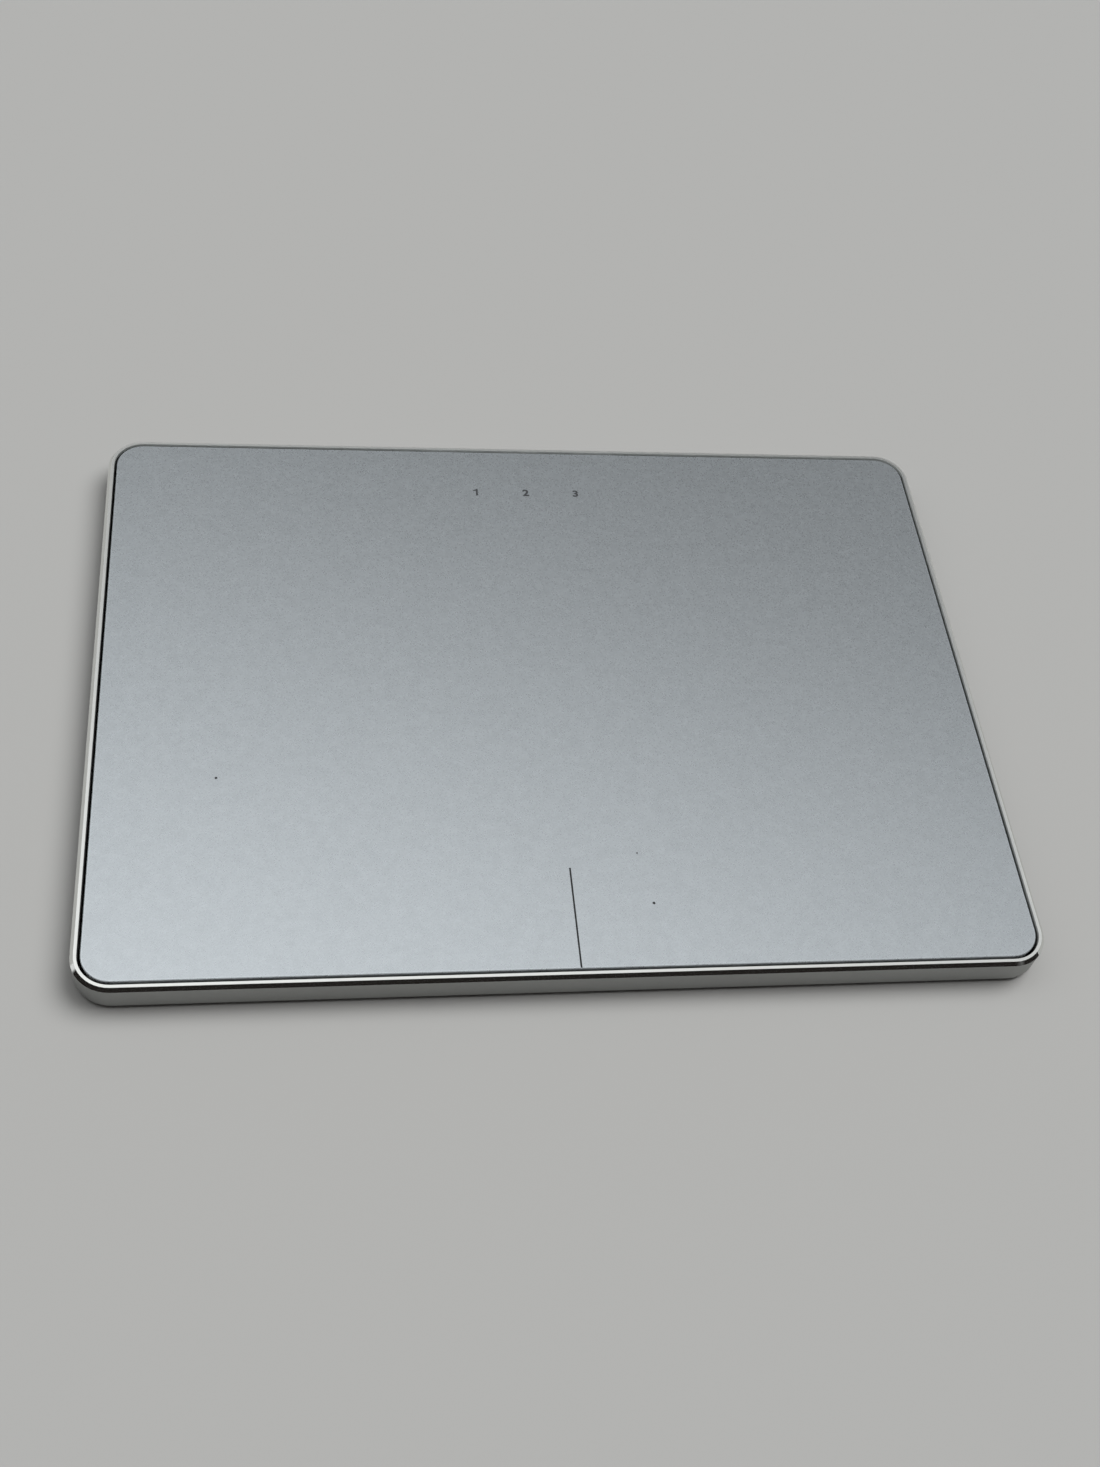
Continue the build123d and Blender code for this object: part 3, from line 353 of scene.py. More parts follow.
class Effects:
    """Shader groups that several finishes share, each built once."""

    NOISE_SPAN: Pair = (0.3, 0.7)
    MOTTLE_DETAIL: float = 3.0
    MOTTLE_ROUGHNESS: float = 0.55
    BRUSH_DETAIL: float = 2.0

    def __init__(self) -> None:
        """Build every group."""
        self.mottle = self._mottle()
        self.brush = self._brush()
        self.grain = self._grain()
        self.speck = self._speck()
        self.tint = self._tint()
        self.outline = self._outline()

    @classmethod
    def _uneven(cls, group: Group, noise: dict[str, Any]) -> Tree:
        """Finish a group that puts out a noise as a shade near 1 and as a height.

        Args:
            group: The group, with an input for the amount.
            noise: The noise's inputs.

        Returns:
            The finished tree.
        """
        height = group.node("ShaderNodeTexNoise", noise).outputs["Fac"]
        ends = (group.calc(way, 1.0, group.take("Amount")) for way in ("SUBTRACT", "ADD"))
        return group.give(Shade=group.spread(height, *cls.NOISE_SPAN, *ends), Height=height)

    def _mottle(self) -> Tree:
        """Build soft uneven patches.

        Returns:
            The tree, which puts out a shade near 1 and a height.
        """
        group = Group.start(
            "soft mottle", Family.SHADER,
            {"Place": Kind.VECTOR, "Scale": Kind.NUMBER, "Amount": Kind.NUMBER},
            {"Shade": Kind.NUMBER, "Height": Kind.NUMBER})
        return self._uneven(group, {"Vector": group.take("Place"), "Scale": group.take("Scale"),
                                    "Detail": self.MOTTLE_DETAIL,
                                    "Roughness": self.MOTTLE_ROUGHNESS})

    def _brush(self) -> Tree:
        """Build fine parallel lines.

        Returns:
            The tree, which puts out a shade near 1 and a height.
        """
        group = Group.start(
            "brushed lines", Family.SHADER,
            {"Place": Kind.VECTOR, "Stretch": Kind.VECTOR, "Amount": Kind.NUMBER},
            {"Shade": Kind.NUMBER, "Height": Kind.NUMBER})
        stretched = group.node("ShaderNodeVectorMath",
                               {0: group.take("Place"), 1: group.take("Stretch")},
                               operation="MULTIPLY")
        return self._uneven(group, {"Vector": stretched.outputs[0], "Scale": 1.0,
                                    "Detail": self.BRUSH_DETAIL})

    def _grain(self) -> Tree:
        """Build fine moulded or blasted grain.

        Returns:
            The tree, which puts out a height and a random value for each grain.
        """
        group = Group.start("fine grain", Family.SHADER,
                            {"Place": Kind.VECTOR, "Scale": Kind.NUMBER},
                            {"Height": Kind.NUMBER, "Random": Kind.NUMBER})
        cells = group.node("ShaderNodeTexVoronoi", {"Vector": group.take("Place"),
                                                    "Scale": group.take("Scale")})
        random = group.node("ShaderNodeSeparateColor", {0: cells.outputs["Color"]})
        return group.give(Height=cells.outputs["Distance"], Random=random.outputs[0])

    def _speck(self) -> Tree:
        """Build a speck of dust.

        Returns:
            The tree, which puts out a mask that is 1 on the speck.
        """
        group = Group.start("speck of dust", Family.SHADER,
                            {"Place": Kind.VECTOR, "Centre": Kind.VECTOR,
                             "Radius": Kind.NUMBER}, {"Mask": Kind.NUMBER})
        away = group.node("ShaderNodeVectorMath", {0: group.take("Place"), 1: group.take("Centre")},
                          operation="DISTANCE").outputs["Value"]
        return group.give(Mask=group.calc("LESS_THAN", away, group.take("Radius")))

    def _tint(self) -> Tree:
        """Build a colour made lighter or darker.

        Returns:
            The tree, which puts out the colour.
        """
        group = Group.start("shaded colour", Family.SHADER,
                            {"Colour": Kind.COLOUR, "Shade": Kind.NUMBER},
                            {"Colour": Kind.COLOUR})
        return group.give(Colour=group.scaled(group.take("Colour"), group.take("Shade")))

    def _outline(self) -> Tree:
        """Build the distance outwards from a rounded rectangle that stands round the Z axis.

        Returns:
            The tree, which puts out the distance.
        """
        group = Group.start("distance from outline", Family.SHADER,
                            {"Place": Kind.VECTOR, "Half Length": Kind.NUMBER,
                             "Half Width": Kind.NUMBER, "Radius": Kind.NUMBER},
                            {"Distance": Kind.NUMBER})
        past = []
        for part, half in zip(group.parts(group.take("Place")), ("Half Length", "Half Width")):
            straight = group.calc("SUBTRACT", group.take(half), group.take("Radius"))
            past.append(group.calc("SUBTRACT", group.calc("ABSOLUTE", part), straight))
        outside = [group.calc("MAXIMUM", value, 0.0) for value in past]
        squares = group.calc("ADD", *(group.calc("MULTIPLY", value, value) for value in outside))
        inside = group.calc("MINIMUM", group.calc("MAXIMUM", *past), 0.0)
        whole = group.calc("ADD", group.calc("SQRT", squares), inside)
        return group.give(Distance=group.calc("SUBTRACT", whole, group.take("Radius")))


@dataclass(frozen=True)
class Outline:
    """A rounded rectangle round the Z axis."""

    half_length: float
    half_width: float
    radius: float


@dataclass(frozen=True)
class Canvas:
    """A material being made: its tree, its shader, the place on the object and the effects."""

    sketch: Sketch
    shader: Node
    place: Socket
    effects: Effects

    def feed(self, name: str, value: Any) -> None:
        """Feed one input of the shader."""
        self.sketch.feed(self.shader.inputs[name], value)

    def mottle(self, scale: float, amount: float) -> tuple[Socket, ...]:
        """Add soft uneven patches and give their shade and height."""
        return tuple(self.sketch.use(self.effects.mottle, Place=self.place, Scale=scale,
                                     Amount=amount).outputs)

    def grain(self, scale: float) -> tuple[Socket, ...]:
        """Add a fine grain and give its height and random value."""
        return tuple(self.sketch.use(self.effects.grain, Place=self.place, Scale=scale).outputs)

    def distance(self, outline: Outline) -> Socket:
        """Measure outwards from an outline.

        Args:
            outline: The outline.

        Returns:
            The distance, negative inside.
        """
        made = self.sketch.use(self.effects.outline, Place=self.place, Radius=outline.radius,
                               Half_Length=outline.half_length, Half_Width=outline.half_width)
        return made.outputs["Distance"]

    def tinted(self, colour: Colour, shade: Any) -> Socket:
        """Give a colour made lighter or darker."""
        return self.sketch.use(self.effects.tint, Colour=colour, Shade=shade).outputs["Colour"]

    def relief(self, height: Socket, depth: float) -> None:
        """Bump the surface by a height, to a depth in metres."""
        bump = self.sketch.node("ShaderNodeBump", {"Height": height, "Distance": depth})
        self.feed("Normal", bump.outputs[0])


@dataclass(frozen=True)
class Finish:
    """What every surface shares: a colour and a gloss, written into a material by one method."""

    colour: Colour
    roughness: float
    metallic: float = 0.0

    def material(self, name: str, effects: Effects) -> Material:
        """Make the material.

        Args:
            name: The material's name.
            effects: The shared shader groups.

        Returns:
            The material, with its shader joined to the output.
        """
        made = bpy.data.materials.new(name)
        made.use_nodes = True
        made.node_tree.nodes.clear()
        sketch = Sketch(made.node_tree)
        place = sketch.node("ShaderNodeTexCoord").outputs["Object"]
        shader = sketch.node("ShaderNodeBsdfPrincipled", {
            "Base Color": self.colour, "Metallic": self.metallic, "Roughness": self.roughness})
        self.surface(Canvas(sketch, shader, place, effects))
        sketch.node("ShaderNodeOutputMaterial", {"Surface": shader.outputs[0]})
        return made

    def surface(self, canvas: Canvas) -> None:
        """Add what changes over the surface.

        Args:
            canvas: The material being made.
        """


@dataclass(frozen=True)
class SatinPaint(Finish):
    """Metallic paint behind a matt face, with fine flake, faint clouding, specks of dust and a
    painted highlight along its edge.
    """

    flake_scale: float = 5200.0
    flake_amount: float = 0.062
    flake_gloss: float = 0.03
    cloud_scale: float = 560.0
    cloud_amount: float = 0.03
    edge: Outline = Outline(79.36 * MM, 58.36 * MM, 4.96 * MM)
    edge_highlight_width: float = 0.26 * MM
    edge_blend: float = 0.02 * MM
    edge_highlight_lift: float = 1.12
    side_start: float = -0.01 * MM
    side_metallic: float = 0.2
    speck_colour: Colour = tone(46, 44, 46)
    speck_level: float = 6.0
    specks: tuple[Triple, ...] = (
        (-59.06, -20.31, 0.22), (13.57, -46.54, 0.24), (11.91, -36.69, 0.15))

    def surface(self, canvas: Canvas) -> None:
        """Add the flake, the clouding, a painted highlight along the edge and the specks.

        Args:
            canvas: The material being made. The specks' level, places and radii are in mm.
        """
        sketch = canvas.sketch
        distance = canvas.distance(self.edge)
        # Painted highlight: a narrow band just inside the plate's edge is made lighter.
        lift = sketch.spread(distance, -self.edge_highlight_width - self.edge_blend, -self.edge_highlight_width,
                             1.0, self.edge_highlight_lift)
        side = sketch.calc("GREATER_THAN", distance, self.side_start)
        canvas.feed("Metallic", sketch.fade(side, self.metallic, self.side_metallic))
        _, random = canvas.grain(self.flake_scale)
        clouds, _ = canvas.mottle(self.cloud_scale, self.cloud_amount)
        sparkle = sketch.fade(random, 1 - self.flake_amount, 1 + self.flake_amount)
        colour = canvas.tinted(self.colour, sketch.times(sparkle, clouds, lift))
        for x, y, radius in self.specks:
            centre = Vector((x, y, self.speck_level)) * MM
            speck = sketch.use(canvas.effects.speck, Place=canvas.place, Centre=centre,
                               Radius=radius * MM)
            colour = sketch.mix(speck.outputs["Mask"], colour, self.speck_colour)
        canvas.feed("Base Color", colour)
        canvas.feed("Roughness", sketch.fade(random, self.roughness - self.flake_gloss,
                                             self.roughness + self.flake_gloss))


@dataclass(frozen=True)
class MachinedRim(Finish):
    """Blasted and anodised aluminium whose top edge is cut and polished; its dark base tone is
    partly painted shade on the wall.
    """

    polished_roughness: float = 0.06
    polish_and_wall_shade_lift: float = 2.45
    land_roughness: float = 0.28
    land_level: float = 5.97 * MM
    land_blend: float = 0.01 * MM
    edge_level: float = 5.38 * MM
    edge_blend: float = 0.02 * MM
    blast_scale: float = 9000.0
    blast_depth: float = 0.006 * MM
    cloud_scale: float = 700.0
    cloud_amount: float = 0.02
    opening: Outline = Outline(79.9 * MM, 58.9 * MM, 5.5 * MM)
    gap_shade_start: float = 0.01 * MM
    gap_shade_level: float = 3.6 * MM
    gap_shade_blend: float = 0.5 * MM
    gap_shade_reach: float = 0.8 * MM
    gap_shade_factor: float = 0.03
    throat_roughness: float = 0.7

    def surface(self, canvas: Canvas) -> None:
        """Blend from the blasted wall to the cut edge by height, lifting the cut edge above the
        wall's dark base, which is partly painted shade, and paint shade into the foot of the gap
        round the plate.

        Args:
            canvas: The material being made.
        """
        sketch = canvas.sketch
        _, _, level = sketch.parts(canvas.place)
        polished = sketch.spread(level, self.edge_level - self.edge_blend,
                                 self.edge_level + self.edge_blend, 0.0, 1.0)
        past = canvas.distance(self.opening)
        # Painted shade: below the gap the opening's walls are darkened nearly to black, standing in
        # for the shade deep in the gap round the plate.
        inside = sketch.times(sketch.calc("LESS_THAN", past, self.gap_shade_start),
                              sketch.calc("GREATER_THAN", past, -self.gap_shade_reach))
        low = sketch.spread(level, self.gap_shade_level, self.gap_shade_level + self.gap_shade_blend,
                            1.0, 0.0)
        clouds, _ = canvas.mottle(self.cloud_scale, self.cloud_amount)
        # The polished band is lifted over the wall's dark base, which is partly painted shade.
        shade = sketch.times(sketch.fade(polished, 1.0, self.polish_and_wall_shade_lift), clouds,
                             sketch.fade(sketch.times(inside, low), 1.0, self.gap_shade_factor))
        canvas.feed("Base Color", canvas.tinted(self.colour, shade))
        land = sketch.spread(level, self.land_level, self.land_level + self.land_blend,
                             self.polished_roughness, self.land_roughness)
        outer = sketch.fade(polished, self.roughness, land)
        canvas.feed("Roughness", sketch.fade(inside, outer, self.throat_roughness))
        height, _ = canvas.grain(self.blast_scale)
        dull = sketch.calc("SUBTRACT", 1.0, polished)
        canvas.relief(sketch.times(height, dull), self.blast_depth)


@dataclass(frozen=True)
class BrushedMetal(Finish):
    """Rolled, drawn or turned metal with fine parallel lines."""

    metallic: float = 1.0
    run: Run = Run.X
    amount: float = 0.08
    depth: float = 0.002 * MM

    def surface(self, canvas: Canvas) -> None:
        """Add the lines.

        Args:
            canvas: The material being made.
        """
        shade, height = canvas.sketch.use(canvas.effects.brush, Place=canvas.place,
                                          Stretch=self.run.value, Amount=self.amount).outputs
        canvas.feed("Base Color", canvas.tinted(self.colour, shade))
        canvas.feed("Roughness", canvas.sketch.times(shade, self.roughness))
        canvas.relief(height, self.depth)


@dataclass(frozen=True)
class Moulded(Finish):
    """Moulded plastic or rubber with a fine grain and faint unevenness."""

    grain_scale: float = 3500.0
    grain_depth: float = 0.01 * MM
    cloud_scale: float = 250.0
    amount: float = 0.03

    def surface(self, canvas: Canvas) -> None:
        """Add the grain.

        Args:
            canvas: The material being made.
        """
        height, _ = canvas.grain(self.grain_scale)
        shade, _ = canvas.mottle(self.cloud_scale, self.amount)
        canvas.feed("Base Color", canvas.tinted(self.colour, shade))
        canvas.feed("Roughness", canvas.sketch.times(shade, self.roughness))
        canvas.relief(height, self.grain_depth)


@dataclass(frozen=True)
class SolderMask(Finish):
    """Green lacquer over fibre glass, with bundles of copper tracks and small vias under it."""

    patch_scale: float = 230.0
    patch_turned: float = 0.5
    patch_bare: float = 0.35
    track_pitch: float = 0.42 * MM
    track_share: float = 0.45
    track_lift: float = 1.35
    via_scale: float = 420.0
    via_radius: float = 0.1
    via_lift: float = 1.9
    cloud_scale: float = 1200.0
    cloud_amount: float = 0.05
    depth: float = 0.01 * MM

    def surface(self, canvas: Canvas) -> None:
        """Add the tracks, the vias and the weave that shows through.

        Args:
            canvas: The material being made.
        """
        sketch = canvas.sketch
        patches = sketch.node("ShaderNodeTexVoronoi",
                              {"Vector": canvas.place, "Scale": self.patch_scale},
                              distance="CHEBYCHEV", feature="F1")
        random = sketch.node("ShaderNodeSeparateColor", {0: patches.outputs["Color"]}).outputs
        x, y, _ = sketch.parts(canvas.place)
        turn = sketch.calc("GREATER_THAN", random[0], self.patch_turned)
        tracks = sketch.calc("ADD", sketch.times(self.stripes(sketch, y), turn),
                             sketch.times(self.stripes(sketch, x),
                                          sketch.calc("SUBTRACT", 1.0, turn)))
        tracks = sketch.times(tracks, sketch.calc("GREATER_THAN", random[1], self.patch_bare))
        holes = sketch.node("ShaderNodeTexVoronoi",
                            {"Vector": canvas.place, "Scale": self.via_scale})
        vias = sketch.calc("LESS_THAN", holes.outputs["Distance"], self.via_radius)
        copper = sketch.calc("MAXIMUM", sketch.fade(tracks, 1.0, self.track_lift),
                             sketch.fade(vias, 1.0, self.via_lift))
        clouds, _ = canvas.mottle(self.cloud_scale, self.cloud_amount)
        canvas.feed("Base Color", canvas.tinted(self.colour, sketch.times(copper, clouds)))
        canvas.relief(copper, self.depth)

    def stripes(self, sketch: Sketch, level: Socket) -> Socket:
        """Give 1 on a track and 0 between two."""
        share = sketch.calc("FRACT", sketch.calc("DIVIDE", level, self.track_pitch))
        return sketch.calc("LESS_THAN", share, self.track_share)


@dataclass(frozen=True)
class RibbonFilm(Finish):
    """Amber film over flat conductors that run to the rear."""

    pitch: float = 0.5 * MM
    share: float = 0.55
    lift: float = 1.3
    depth: float = 0.01 * MM

    def surface(self, canvas: Canvas) -> None:
        """Add the conductors.

        Args:
            canvas: The material being made.
        """
        sketch = canvas.sketch
        across, _, _ = sketch.parts(canvas.place)
        part = sketch.calc("FRACT", sketch.calc("DIVIDE", across, self.pitch))
        conductor = sketch.calc("LESS_THAN", part, self.share)
        shade = sketch.fade(conductor, 1.0, self.lift)
        canvas.feed("Base Color", canvas.tinted(self.colour, shade))
        canvas.relief(conductor, self.depth)


@dataclass(frozen=True)
class CellFoil(Finish):
    """Laminated foil pouch with soft creases."""

    crease_scale: float = 70.0
    crease_amount: float = 0.04
    crease_depth: float = 0.15 * MM
    fine_scale: float = 900.0
    fine_amount: float = 0.03

    def surface(self, canvas: Canvas) -> None:
        """Add the creases, with painted shade: the tone follows the creases' height, darker in
        their hollows.

        Args:
            canvas: The material being made.
        """
        creases, height = canvas.mottle(self.crease_scale, self.crease_amount)
        fine, _ = canvas.mottle(self.fine_scale, self.fine_amount)
        # Painted shade: the colour darkens with the crease relief's hollows.
        shade = canvas.sketch.times(creases, fine)
        canvas.feed("Base Color", canvas.tinted(self.colour, shade))
        canvas.relief(height, self.crease_depth)


@dataclass(frozen=True)
class ClearMoulding(Finish):
    """Water-clear plastic that guides light."""

    clearness: float = 0.9
    bending: float = 1.49
    cloud_scale: float = 300.0
    cloud_amount: float = 0.02
    depth: float = 0.01 * MM

    def surface(self, canvas: Canvas) -> None:
        """Make it clear and a little uneven.

        Args:
            canvas: The material being made.
        """
        canvas.feed("Transmission Weight", self.clearness)
        canvas.feed("IOR", self.bending)
        _, height = canvas.mottle(self.cloud_scale, self.cloud_amount)
        canvas.relief(height, self.depth)


FINISHES: dict[Slot, Finish] = {
    # The rim's base tone is kept dark, partly painted shade on its side wall.
    Slot.RIM: MachinedRim(tone(157, 158, 156), 0.5, 1.0),
    Slot.COVER: Moulded(tone(78, 79, 82), 0.55),
    Slot.SCREW: BrushedMetal(tone(176, 176, 178), 0.32, run=Run.Z),
    Slot.RUBBER: Moulded(tone(46, 46, 48), 0.78, grain_scale=2600.0, amount=0.06),
    Slot.TOUCH: SatinPaint(tone(198, 204, 208), 0.3, 1.0),
    Slot.ADHESIVE: Moulded(tone(225, 225, 214), 0.6),
    Slot.BOARD: SolderMask(tone(22, 92, 62), 0.38),
    Slot.SPRING: BrushedMetal(tone(186, 187, 190), 0.34),
    Slot.CHIP: Moulded(tone(36, 36, 38), 0.5, grain_scale=6000.0),
    Slot.SOCKET: Moulded(tone(226, 222, 208), 0.45),
    Slot.RIBBON: RibbonFilm(tone(176, 118, 46), 0.3),
    Slot.CLEAR: ClearMoulding(tone(238, 240, 240), 0.08),
    Slot.BRASS: BrushedMetal(tone(214, 182, 112), 0.28, run=Run.Z),
    Slot.SHIELD: BrushedMetal(tone(200, 201, 203), 0.26, run=Run.Y),
    Slot.FOIL: CellFoil(tone(196, 198, 201), 0.4, 1.0),
    Slot.LEAD: Moulded(tone(52, 50, 48), 0.35, grain_scale=1500.0),
    Slot.CONTROL: Moulded(tone(168, 170, 174), 0.5, grain_scale=5000.0),
}


@dataclass
class Wardrobe:
    """Every material of the object, made from its finish the first time it is asked for."""

    effects: Effects = field(default_factory=Effects)
    made: dict[str, Material] = field(default_factory=dict)

    def slot(self, slot: Slot) -> Material:
        """Give the material of a record slot."""
        return self.special(slot.value, FINISHES[slot])

    def special(self, name: str, finish: Finish) -> Material:
        """Give a material by its name.

        Args:
            name: The material's name.
            finish: What it is made from if it is new.

        Returns:
            The material.
        """
        if name not in self.made:
            self.made[name] = finish.material(name, self.effects)
        return self.made[name]


def wear(piece: Piece, material: Material) -> None:
    """Give a piece one material."""
    piece.data.materials.clear()
    piece.data.materials.append(material)


def settle(piece: Piece, rider: Rider) -> None:
    """Let a finished piece ride on a body, and log it."""
    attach(piece, rider.value)
    LOG.info("%s rides on %s with %d faces", piece.name, rider.value, len(piece.data.polygons))


def linked(name: str, data: bpy.types.ID) -> Piece:
    """Make an object and link it to the scene.

    Args:
        name: The object's name.
        data: Its mesh, curve, light or camera.

    Returns:
        The object, at the origin.
    """
    made = bpy.data.objects.new(name, data)
    bpy.context.scene.collection.objects.link(made)
    return made


def mesh_from(name: str, shape: Shape) -> Mesh:
    """Turn a shape into a mesh.

    Args:
        name: The mesh's name.
        shape: The shape. It is freed here.

    Returns:
        The mesh.
    """
    mesh = bpy.data.meshes.new(name)
    shape.to_mesh(mesh)
    shape.free()
    return mesh


def absorb(shape: Shape, mesh: Mesh) -> None:
    """Add a mesh to a shape and remove the mesh."""
    shape.from_mesh(mesh)
    bpy.data.meshes.remove(mesh)


def piece_from(name: str, shape: Shape) -> Piece:
    """Make an object from a shape, with its normals outwards.

    Args:
        name: The piece's name.
        shape: The shape in the frame's own place. It is freed here.

    Returns:
        The object, at the origin.
    """
    bmesh.ops.remove_doubles(shape, verts=shape.verts, dist=MERGE_DISTANCE)
    bmesh.ops.recalc_face_normals(shape, faces=shape.faces)
    return linked(name, mesh_from(name, shape))


def shown_mesh(piece: Piece) -> Mesh:
    """Keep what a piece shows, with its modifiers, as a plain mesh.

    Args:
        piece: The piece, which is removed.

    Returns:
        The mesh.
    """
    shown = piece.evaluated_get(bpy.context.evaluated_depsgraph_get())
    mesh = bpy.data.meshes.new_from_object(shown)
    bpy.data.objects.remove(piece)
    return mesh


def flattened(piece: Piece, name: str) -> Piece:
    """Turn a piece with modifiers into a plain one.

    Args:
        piece: The piece, which is removed.
        name: The new piece's name.

    Returns:
        The plain piece, at the origin.
    """
    mesh = shown_mesh(piece)
    mesh.name = name
    return linked(name, mesh)


class Copier:
    """Geometry Nodes trees that set copies of a piece out on points, in a row or over a zone."""

    RESULT: dict[str, Kind] = {"Geometry": Kind.GEOMETRY}

    def __init__(self) -> None:
        """Build the trees."""
        self.on_points = self._on_points()
        self.in_row = self._in_row()
        self.in_zone = self._in_zone()

    @staticmethod
    def _set_out(group: Group, points: Socket, piece: Socket, **more: Socket) -> Tree:
        """Finish a tree: copies on points, made real and given their material.

        Args:
            group: The tree, with an input for the finish.
            points: Where the copies go.
            piece: What is copied.
            more: Other inputs for the copies.

        Returns:
            The finished tree.
        """
        copies = group.node("GeometryNodeInstanceOnPoints",
                            {"Points": points, "Instance": piece, **more})
        real = group.node("GeometryNodeRealizeInstances", {"Geometry": copies.outputs[0]})
        dressed = group.node("GeometryNodeSetMaterial", {"Geometry": real.outputs[0],
                                                         "Material": group.take("Finish")})
        return group.give(Geometry=dressed.outputs[0])

    def _on_points(self) -> Tree:
        """Build copies of an object on every point of the mesh.

        Returns:
            The tree.
        """
        group = Group.start("copies on points", Family.GEOMETRY, {
            "Points": Kind.GEOMETRY, "Piece": Kind.OBJECT, "Finish": Kind.MATERIAL}, self.RESULT)
        piece = group.node("GeometryNodeObjectInfo", {"Object": group.take("Piece")})
        return self._set_out(group, group.take("Points"), piece.outputs["Geometry"])

    def _in_row(self) -> Tree:
        """Build a row of blocks, set out from a start by a step.

        Returns:
            The tree.
        """
        group = Group.start("blocks in a row", Family.GEOMETRY, {
            "Geometry": Kind.GEOMETRY, "Count": Kind.WHOLE, "Start": Kind.VECTOR,
            "Step": Kind.VECTOR, "Block": Kind.VECTOR, "Finish": Kind.MATERIAL}, self.RESULT)
        line = group.node("GeometryNodeMeshLine", {
            "Count": group.take("Count"), "Start Location": group.take("Start"),
            "Offset": group.take("Step")}, mode="OFFSET")
        block = group.node("GeometryNodeMeshCube", {"Size": group.take("Block")})
        return self._set_out(group, line.outputs[0], block.outputs["Mesh"])

    def _in_zone(self) -> Tree:
        """Build parts on a grid, some left out and some turned by a right angle.

        Returns:
            The tree.
        """
        group = Group.start("parts in a zone", Family.GEOMETRY, {
            "Geometry": Kind.GEOMETRY, "Piece": Kind.OBJECT, "Centre": Kind.VECTOR,
            "Length": Kind.NUMBER, "Width": Kind.NUMBER, "Columns": Kind.WHOLE,
            "Rows": Kind.WHOLE, "Share": Kind.NUMBER, "Turned": Kind.NUMBER, "Seed": Kind.WHOLE,
            "Finish": Kind.MATERIAL}, self.RESULT)
        grid = group.node("GeometryNodeMeshGrid", {
            "Size X": group.take("Length"), "Size Y": group.take("Width"),
            "Vertices X": group.take("Columns"), "Vertices Y": group.take("Rows")})
        placed = group.node("GeometryNodeTransform", {
            "Geometry": grid.outputs[0], "Translation": group.take("Centre")})
        # Output 3 of a Random Value node is its yes or no.
        kept = group.node("FunctionNodeRandomValue", {
            "Probability": group.take("Share"), "Seed": group.take("Seed")}, data_type="BOOLEAN")
        turned = group.node("FunctionNodeRandomValue", {
            "Probability": group.take("Turned"),
            "Seed": group.calc("ADD", group.take("Seed"), 1.0)}, data_type="BOOLEAN")
        angle = group.node("ShaderNodeCombineXYZ", {
            2: group.calc("MULTIPLY", turned.outputs[3], math.pi / 2)})
        piece = group.node("GeometryNodeObjectInfo", {"Object": group.take("Piece")})
        return self._set_out(group, placed.outputs[0], piece.outputs["Geometry"],
                             Selection=kept.outputs[3], Rotation=angle.outputs[0])

    @staticmethod
    def run(tree: Tree, name: str, mesh: Mesh | None = None, **inputs: Any) -> Piece:
        """Run a tree and keep the result as a plain piece.

        Args:
            tree: The Geometry Nodes tree.
            name: The new piece's name.
            mesh: The mesh that goes in, or none for an empty one.
            inputs: The tree's other inputs.

        Returns:
            The plain piece.
        """
        holder = linked(name, mesh or bpy.data.meshes.new(name))
        modifier = holder.modifiers.new(tree.name, "NODES")
        modifier.node_group = tree
        sockets = {item.name: item.identifier for item in tree.interface.items_tree
                   if item.item_type == "SOCKET" and item.in_out == "INPUT"}
        for key, value in inputs.items():
            modifier[sockets[key]] = value
        holder.update_tag()
        return flattened(holder, name)

    def copies(self, name: str, piece: Piece, places: Iterable[Vector], finish: Material) -> Piece:
        """Set copies of a piece out on places and remove the first one.

        Args:
            name: The new piece's name.
            piece: The piece, made round the origin.
            places: Where the copies go.
            finish: Their material.

        Returns:
            One plain piece that holds every copy.
        """
        points = bpy.data.meshes.new(name)
        points.from_pydata([tuple(place) for place in places], [], [])
        made = self.run(self.on_points, name, points, Piece=piece, Finish=finish)
        bpy.data.objects.remove(piece)
        return made


@dataclass(frozen=True)
class Row:
    """A row of like metal contacts, from the centre of the first."""

    name: str
    rider: Rider
    count: int
    start: Triple
    step: Triple
    block: Triple

    def make(self, copier: Copier, finish: Material) -> None:
        """Make the row as one piece.

        Args:
            copier: The Geometry Nodes trees.
            finish: The contacts' material.
        """
        settle(copier.run(copier.in_row, self.name, Count=self.count, Start=self.start,
                          Step=self.step, Block=self.block, Finish=finish), self.rider)


@dataclass(frozen=True)
class Zone:
    """A patch of a board on which parts are set out, from its corners at one level."""

    low: Pair
    high: Pair
    level: float
    step: float
    share: float
    seed: int

    def fill(self, name: str, piece: Piece, copier: Copier, finish: Material, turned: float
             ) -> Piece:
        """Set a part out over the zone.

        Args:
            name: The new piece's name.
            piece: The part, made round the origin. It stays.
            copier: The Geometry Nodes trees.
            finish: The parts' material.
            turned: Share of the parts turned by a right angle.

        Returns:
            One plain piece that holds every part.
        """
        length, width = (far - near for near, far in zip(self.low, self.high))
        centre = (*((near + far) / 2 for near, far in zip(self.low, self.high)), self.level)
        return copier.run(copier.in_zone, name, Piece=piece, Centre=centre, Length=length,
                          Width=width, Columns=round(length / self.step) + 1,
                          Rows=round(width / self.step) + 1, Share=self.share, Turned=turned,
                          Seed=self.seed, Finish=finish)


